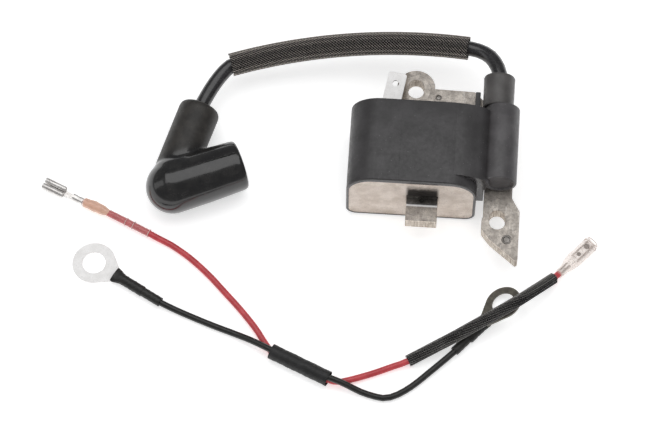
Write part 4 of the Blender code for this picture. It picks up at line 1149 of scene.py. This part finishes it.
def braid(name, path, radius, strands, lay, width, lift):
    """Flat yarns wound both ways round a path, each over and under the others in turn.

    strands run each way, lay is the length of one full turn, width is a yarn's width and lift is how far
    it rises and dips. The two directions come back as two pieces with UV in millimetres.
    """
    frames, lengths = frames_along(path), [0.0]
    for p, q in zip(path, path[1:]):
        lengths.append(lengths[-1] + (q - p).length)
    steps = int(lengths[-1] / (lay / strands / 2) * 2.5)
    stations = []
    for i in range(steps + 1):
        run = lengths[-1] * i / steps
        k = min(len(lengths) - 2, max(0, bisect.bisect_left(lengths, run) - 1))
        t = (run - lengths[k]) / (lengths[k + 1] - lengths[k])
        stations.append((run, *(low.lerp(high, t) for low, high in zip(frames[k], frames[k + 1]))))
    turn_rate = tau / lay
    slope = atan2(radius * turn_rate, 1.0)
    pieces = []
    for way, key, suffix in ((1, "warp", "over"), (-1, "weft", "under")):
        points, faces, coords = [], [], []
        for k in range(strands):
            for i, (run, centre, side, up) in enumerate(stations):
                angle = tau * k / strands + way * turn_rate * run
                crossing = 2 * k + way * strands * turn_rate * run / pi
                height = way * lift * cos(pi / 2 * (crossing + 0.5))
                forward = side.cross(up)
                # Across the yarn, turned square to the yarn's own slope.
                for j, crown in YARN_SECTION:
                    across = j * width / 2
                    around = angle + across * cos(slope) / radius
                    ahead = -way * across * sin(slope)
                    r = radius + height + crown * lift
                    points.append(centre + side * r * cos(around) + up * r * sin(around) - forward * ahead)
                    coords.append((run / cos(slope), across + k))
                if i < steps:
                    first = len(points) - 4
                    faces.extend((a, a + 1, a + 5, a + 4) for a in range(first, first + 3))
        mesh = bpy.data.meshes.new(name)
        mesh.from_pydata([tuple(p) for p in points], [], faces)
        layer = mesh.uv_layers.new(name="UVMap")
        layer.data.foreach_set("uv", [value for loop in mesh.loops for value in coords[loop.vertex_index]])
        pieces.append(add_piece(f"{name}_yarn_{suffix}", mesh, f"{name}_{key}", 180.0))
    return pieces


def build_sleeve(name, body, slot, node, path, lining, sides, *weave):
    """A woven tube: its lining, whose radius is lining(run, angle), and the yarns round it."""
    inner = add_piece(f"{name}_lining", sweep(path, lining, sides, close=False), "sleeve_core", 180.0)
    return [
        ride_as(inner, body, slot, node),
        *(ride_as(yarns, body, slot) for yarns in braid(name, path, *weave))
    ]


def build_woven_sleeve():
    def lining(run, angle):
        return SLEEVE_RADIUS - 3.2 * SLEEVE_LIFT + 0.03 * sin(run * 1.3 + 2 * angle)

    path, radius = route(sleeve_arc(ARC_START, ARC_END), 1.2), SLEEVE_RADIUS - 1.8 * SLEEVE_LIFT
    names = ("sleeve", "woven_sleeve", "woven_sleeve", "lead_sleeve")
    return build_sleeve(*names, path, lining, 48, radius, 24, 26.0, 0.92, SLEEVE_LIFT)


def build_wire_sleeve():
    def lining(run, angle):
        return BRAID_RADIUS - 3.4 * BRAID_LIFT

    path, radius = route(BRAID_POINTS, 1.0), BRAID_RADIUS - 1.8 * BRAID_LIFT
    names = ("braid", "braided_sleeve", "braid_sleeve", "wire_sleeve")
    return build_sleeve(*names, path, lining, 32, radius, 14, 11.0, 0.78, BRAID_LIFT)


# --- Harness -----------------------------------------------------------------

DETENTS = [(1.7, 0.75), (5.6, 0.95)]  # the floor's two round catches, as distance from its tail and radius
SHRINK_FLARE, SHRINK_FLAT, SHRINK_TALL, SHRINK_BEHIND = 4.2, 1.25, 1.72, (1.62, 1.55)
RECEPTACLE_HEIGHT, RECEPTACLE_SHEET = 2.2, 0.42
CAP_TAIL, CAP_LENGTH, CAP_NECK_RADIUS, CAP_RADIUS = 8.3, 17.3, 1.55, 2.72  # the clear cap on receptacle b
TAPER_AT = 58  # degrees round the ring where its outline leaves it for the tail
WRINKLES = (0.42, 0.6, 0.985)  # where the clear tube on the red wire is folded, along its tight part


def ring_place(centre, angle, tilt, axis_z):
    """Where a ring terminal lies, so that the middle of its tail is on its wire's axis."""
    pitch, roll = tilt
    height = axis_z - sin(pitch) * (SHRINK_START + CRIMP_END) / 2
    turn = Matrix.Rotation(angle, 4, "Z") @ Matrix.Rotation(-pitch, 4, "Y") @ Matrix.Rotation(roll, 4, "X")
    return Matrix.Translation((*centre, height)) @ turn


def build_ring_terminal(suffix, centre, angle, radius, tilt, axis_z, finish):
    """A stamped ring whose outline runs smoothly into its tail."""
    lean = radians(TAPER_AT)
    touch = (radius * cos(lean), -radius * sin(lean))
    tail = [(9.6, -2.1), (10.0, -1.5), (10.4, -1.0), (CRIMP_END, -0.9)]
    mirrored = [(x, -y) for x, y in reversed(tail)]
    ring = arc((0, 0), radius, TAPER_AT, 360 - TAPER_AT, 64)
    ring[-1], ring[0] = touch, (touch[0], -touch[1])
    hole = circle_outline((0, 0), RING_HOLE, 64)
    stamping = plate([ring + tail + mirrored, hole], -RING_THICK / 2, RING_THICK / 2, 0.14)
    burr = ring_mark((0, 0), RING_HOLE + 0.22, 0.1, RING_THICK / 2 - 0.02, 0.06)
    mesh = joined("ring", [stamping, burr])
    mesh.transform(ring_place(centre, angle, tilt, axis_z))
    return ride_as(
        add_piece(f"ring_{suffix}_stamping", mesh, finish, 35.0), "harness", "tin_plate",
        f"ring_terminal_{suffix}",
    )


def build_shrink(suffix, centre, angle, axis_z, step, end, mouth, waist):
    """Two lengths of shrunk tube: one flares flat over the terminal's tail, one sits behind it."""

    def first(run, turn):
        t = min(1.0, run / SHRINK_FLARE)
        ease = t * t * (3 - 2 * t)
        wrinkle = 0.035 * sin(run * 4.1 + 3 * turn) + 0.03 * sin(run * 1.9 - 2 * turn)
        wide = mouth * (1 - ease) + waist * ease
        tall = SHRINK_FLAT * (1 - ease) + SHRINK_TALL * ease
        return (wide + wrinkle, tall + wrinkle)

    def second(run, turn):
        wrinkle = 0.03 * sin(run * 3.3 + 2 * turn)
        return (SHRINK_BEHIND[0] + wrinkle, SHRINK_BEHIND[1] + wrinkle)

    def run_of(start, stop):
        count = int((stop - start) / 0.3)
        return [
            Vector(
                along(centre, angle, start + (stop - start) * i / count, axis_z)
            ) for i in range(count + 1)
        ]

    mesh = joined(
        "shrink",
        [sweep(run_of(SHRINK_START - 0.4, step), first, 40), sweep(run_of(step - 0.5, end), second, 36)],
    )
    return ride_as(
        add_piece(f"ring_{suffix}_shrink", mesh, "shrink", 50.0), "harness", "shrink_tube",
        f"ring_shrink_{suffix}",
    )


def build_receptacle(suffix, centre, angle, z, width, length, finish, over=0.0):
    """A push-on receptacle: floor with rolled edges, a necked tail, and crimp wings round the wire."""
    thick, roll = RECEPTACLE_SHEET, RECEPTACLE_HEIGHT / 2
    side = width / 2 - roll

    def curl(mirror):
        turn = [radians(-90 + 240 * i / 22) for i in range(23)]
        out = [(mirror * (side + roll * cos(a)), roll * sin(a)) for a in turn]
        back = [
            (mirror * (side + (roll - thick) * cos(a)), (roll - thick) * sin(a)) for a in reversed(turn)
        ]
        return [(0.0, -roll), *out, *back, (0.0, -roll + thick)]

    parts = []
    for mirror in (1, -1):
        section = curl(mirror)
        section = section if mirror == 1 else list(reversed(section))
        shell = plate([section], 0.0, length, 0.06)
        # The section's x lies across the receptacle and its y is the height, so its run turns onto -X.
        shell.transform(Matrix(((0, 0, -1, 0), (1, 0, 0, 0), (0, 1, 0, 0), (0, 0, 0, 1))))
        parts.append(shell)
    below = [(-0.6, -1.5, 0.4), (0.6, -1.05, 0.3), (4.2, -0.75, 0.2)]
    above = [(x, -y, radius) for x, y, radius in reversed(below)]
    neck = plate([rounded(below + above)], -roll, -roll + thick, 0.08)
    neck.transform(Matrix.Translation((0, 0, 0.35)))
    parts.append(neck)

    def wing(run, turn):
        crease = 0.16 * max(0.0, cos(turn - pi / 2)) ** 8
        flare = 0.12 * abs(run - 1.9) / 1.9
        return 1.12 - crease + flare

    barrel = sweep([Vector((3.4 + 0.2 * i, 0, 0.0)) for i in range(20)], wing, 36)
    parts.append(barrel)
    place = Matrix.Translation((*centre, z)) @ Matrix.Rotation(angle, 4, "Z") @ Matrix.Rotation(over, 4, "X")
    mesh = joined("receptacle", parts)
    mesh.transform(place)
    piece = ride_as(
        add_piece(f"receptacle_{suffix}_shell", mesh, finish, 35.0), "harness", "tin_plate",
        f"receptacle_{suffix}",
    )
    # Painted shade: the detents are dark discs standing for the shade inside them.
    holes = [
        rod(size, 0, 0.06, place @ Vector((-x, 0, -roll - 0.03)), (0, 0, 1), 32)
        for x, size in DETENTS
    ]
    detents = ride_as(
        add_piece(f"receptacle_{suffix}_detents", joined("detents", holes), "shrink", 40.0), "harness",
        "tin_plate",
    )
    return [piece, detents]


def build_clear_sleeve_a():
    """A clear tube on the first crimp: slack and cloudy at its mouth, tight and folded on the wire."""
    path = route(CLEAR_A_POINTS, 0.35)
    pinch = int(len(path) * 0.38)
    mouth_length, grip_length = path_length(path[: pinch + 1]), path_length(path[pinch:])

    def mouth(run, turn):
        t = run / mouth_length
        radius = 1.5 + 0.3 * sin(pi * min(1.0, t * 1.1)) - 0.42 * t**6
        return radius + 0.06 * sin(run * 1.9 + 2 * turn)

    def grip(run, turn):
        t = run / grip_length
        swell = sum(0.17 * exp(-(((t - place) / 0.012) ** 2)) for place in WRINKLES)
        return 1.3 + swell + 0.03 * sin(run * 2.7 + turn)

    pieces = []
    for name, part, radius, finish in (
        ("clear_sleeve_a_mouth", path[: pinch + 1], mouth, "clear_peach"),
        ("clear_sleeve_a_grip", path[pinch:], grip, "clear_pink"),
    ):
        piece = ride_as(
            add_piece(name, sweep(part, radius, 36, close=False), finish, 180.0), "harness",
            "clear_vinyl", "clear_sleeve_a",
        )
        pieces.append(piece)
    rings = []
    for place in WRINKLES:
        i = min(len(path) - 2, pinch + int(place * (len(path) - pinch)))
        forward = (path[i + 1] - path[i]).normalized()
        rings.append(lathe([(1.38, -0.1), (1.55, 0.0), (1.38, 0.1)], path[i], forward, 36, closed=True))
    folds = ride_as(
        add_piece("clear_sleeve_a_folds", joined("folds", rings), "vinyl_fold", 180.0), "harness",
        "clear_vinyl",
    )
    return [*pieces, folds]


def build_clear_sleeve_b():
    """A clear cap over the second receptacle, narrow at the wire and closed round at its far end."""
    start = Vector(along(RECEPTACLE_B, RECEPTACLE_B_ANGLE, -CAP_TAIL, RECEPTACLE_B_Z))
    direction = heading(RECEPTACLE_B_ANGLE)
    path = [start + direction * (CAP_LENGTH * i / 60) for i in range(61)]

    def wall(run, turn):
        neck = min(1.0, max(0.0, (run - 1.5) / 6.0))
        ease = neck * neck * (3 - 2 * neck)
        closing = min(1.0, max(0.0, (CAP_LENGTH - run) / 1.6))
        round_end = sqrt(1 - (1 - closing) ** 2) * 0.45 + 0.55 if closing < 1 else 1.0
        radius = (CAP_NECK_RADIUS + (CAP_RADIUS - CAP_NECK_RADIUS) * ease) * round_end
        pinch = 1 - 0.12 * ease * abs(sin(turn)) ** 2
        return (radius * (1 + 0.02 * sin(run * 1.7)), radius * pinch)

    sleeve = ride_as(
        add_piece("clear_sleeve_b_cap", sweep(path, wall, 40, close=False), "clear", 180.0), "harness",
        "clear_vinyl", "clear_sleeve_b",
    )
    rims = []
    for run in (CAP_LENGTH - 1.7, CAP_LENGTH - 0.3):
        wide, tall = wall(run, 0.0)[0], wall(run, pi / 2)[1]
        rim = lathe([(0.9, -0.09), (1.0, 0.0), (0.9, 0.09)], (0, 0, 0), (0, 0, 1), 40, closed=True)
        rim.transform(Matrix.Diagonal((wide, tall, 1.3, 1)))
        rim.transform(axis_frame(start + direction * run, direction))
        rims.append(rim)
    edges = ride_as(
        add_piece("clear_sleeve_b_edges", joined("edges", rims), "vinyl_edge", 180.0), "harness",
        "clear_vinyl",
    )
    return [sleeve, edges]


def build_binder():
    """The tube that holds both wires together, soft and a little out of round."""
    path = [BINDER_START.lerp(BINDER_END, i / 60) for i in range(61)]

    def outside(run, turn):
        soft = 0.04 * sin(run * 0.9 + 2 * turn) + 0.025 * sin(run * 2.6 - turn)
        return (BINDER_RADIUS - 0.16 + soft, BINDER_RADIUS - 0.08 + soft)

    outer = sweep(path, outside, 48, close=False)
    inner = sweep(path, lambda run, turn: BINDER_BORE - 0.02, 48, close=False)
    inner.flip_normals()
    rims = []
    for place, direction in ((BINDER_START, -1), (BINDER_END, 1)):
        axis = (BINDER_END - BINDER_START).normalized() * direction
        lip = [(BINDER_BORE - 0.02, -0.1), (BINDER_BORE + 0.02, 0.0)]
        lip = [*lip, (BINDER_RADIUS - 0.2, 0.0), (BINDER_RADIUS - 0.12, -0.1)]
        rims.append(lathe(lip, place, axis, 48, closed=True))
    return ride_as(
        add_piece("binder_tube_looks", joined("binder", [outer, inner, *rims]), "binder", 50.0),
        "harness", "binder_tube", "binder_tube",
    )


# --- Everything --------------------------------------------------------------


HIDDEN_NODES = {
    "nylon": ["primary_bobbin", "secondary_bobbin"],
    "primary": ["primary_winding"],
    "board": ["control_board"],
    "epoxy": ["switching_transistor", "bias_resistor", "sense_resistor"],
    "hook_up": ["tower_link", "earth_wire"],
    "tin": ["contact_pin"],
    "copper": ["lead_conductor"],
    "spring": ["boot_spring"],
    "secondary": [f"secondary_winding_{i}" for i in range(1, 5)],
}


def dress_cad_nodes():
    """The pieces hidden in the module keep their CAD shapes and get their own finishes."""
    for key, nodes in HIDDEN_NODES.items():
        for node in nodes:
            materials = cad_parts[node].data.materials
            if not materials:
                materials.append(FINISH[key])
            for i in range(len(materials)):
                materials[i] = FINISH[key]


build_case()
build_case_details()
build_resin()
build_collar()
build_core()
build_kill_tab()
build_bushing()
build_boot()
build_boot_lines()
SLEEVE_PIECES = build_woven_sleeve()
BRAID_PIECES = build_wire_sleeve()
RING_A = build_ring_terminal(
    "a", RING_A_CENTRE, RING_A_ANGLE, RING_A_RADIUS, (RING_A_PITCH, RING_A_ROLL), SHRINK_A_Z, "tin",
)
# Ring b is tin plate like ring a; its darker finish is painted shade.
RING_B = build_ring_terminal(
    "b", RING_B_CENTRE, RING_B_ANGLE, RING_B_RADIUS, (RING_B_PITCH, RING_B_ROLL), SHRINK_B_Z, "painted_shade_tin"
)
SHRINK_A = build_shrink(
    "a", RING_A_CENTRE, RING_A_ANGLE, SHRINK_A_Z, SHRINK_A_STEP, SHRINK_A_END, 2.75, 1.8,
)
SHRINK_B = build_shrink(
    "b", RING_B_CENTRE, RING_B_ANGLE, SHRINK_B_Z, SHRINK_B_STEP, SHRINK_B_END, 2.35, 2.1,
)
RECEPTACLE_A_PIECE = build_receptacle(
    "a", RECEPTACLE_A, RECEPTACLE_A_ANGLE, RECEPTACLE_A_Z, 4.4, 7.8, "chrome",
)
RECEPTACLE_B_PIECE = build_receptacle(
    "b", RECEPTACLE_B, RECEPTACLE_B_ANGLE + pi, RECEPTACLE_B_Z, 3.6, 7.4, "chrome", pi
)
CLEAR_A, CLEAR_B = build_clear_sleeve_a(), build_clear_sleeve_b()
BINDER = build_binder()
dress_cad_nodes()


# --- Studio ------------------------------------------------------------------

FLOOR_GLOW = 0.5  # a light table: it keeps the shadows faint and lights every piece's underside


def add_floor():
    mesh = bpy.data.meshes.new("floor")
    reach = 2.5
    corners = [(-reach, -reach, 0), (reach, -reach, 0), (reach, reach, 0), (-reach, reach, 0)]
    mesh.from_pydata(corners, [], [(0, 1, 2, 3)])
    shader = Shader("floor")
    where = shader.place((0.001, 0.001, 0.001))
    tone = shader.fade(where, (2.0,), 0.3, 0.7)
    colour = shader.mix(tone, (0.9, 0.9, 0.9), (0.92, 0.92, 0.92))
    glow = {"Emission_Color": (1.0, 1.0, 1.0, 1.0), "Emission_Strength": FLOOR_GLOW}
    mesh.materials.append(shader.finish(colour, Roughness=0.9, **glow))
    floor = bpy.data.objects.new("floor", mesh)
    floor.location.z = -0.0002
    bpy.context.scene.collection.objects.link(floor)


def add_softbox(name, way, distance, size, radiance, mirrored=True):
    """A rectangular softbox that faces the object. A fill isn't mirrored in glossy surfaces."""
    data = bpy.data.lights.new(name, "AREA")
    data.shape = "RECTANGLE"
    data.size, data.size_y = size
    data.energy = radiance * pi * size[0] * size[1]
    light = bpy.data.objects.new(name, data)
    way = Vector(way).normalized()
    turn = (-way).to_track_quat("-Z", "Y").to_matrix().to_4x4()
    light.matrix_world = Matrix.Translation(CAMERA_TARGET + way * distance) @ turn
    light.visible_glossy = mirrored
    bpy.context.scene.collection.objects.link(light)


def add_world():
    world = bpy.data.worlds.new("studio")
    world.use_nodes = True
    background = world.node_tree.nodes["Background"]
    background.inputs["Color"].default_value = (0.96, 0.98, 1.0, 1.0)
    background.inputs["Strength"].default_value = 0.2
    bpy.context.scene.world = world
    bpy.context.scene.view_settings.view_transform = "Standard"


add_floor()
add_softbox("overhead", (0.0, 0.22, 0.97), 0.9, (1.1, 0.7), 1.5)
add_softbox("side", (-0.9, -0.1, 0.5), 1.0, (0.35, 0.8), 0.8)
add_softbox("front", (0.2, -0.9, 0.5), 1.1, (1.1, 0.5), 1.3, mirrored=False)
add_softbox("dome_fill", (0.0, 0.0, 1.0), 1.3, (3.2, 3.2), 0.3, mirrored=False)
add_world()
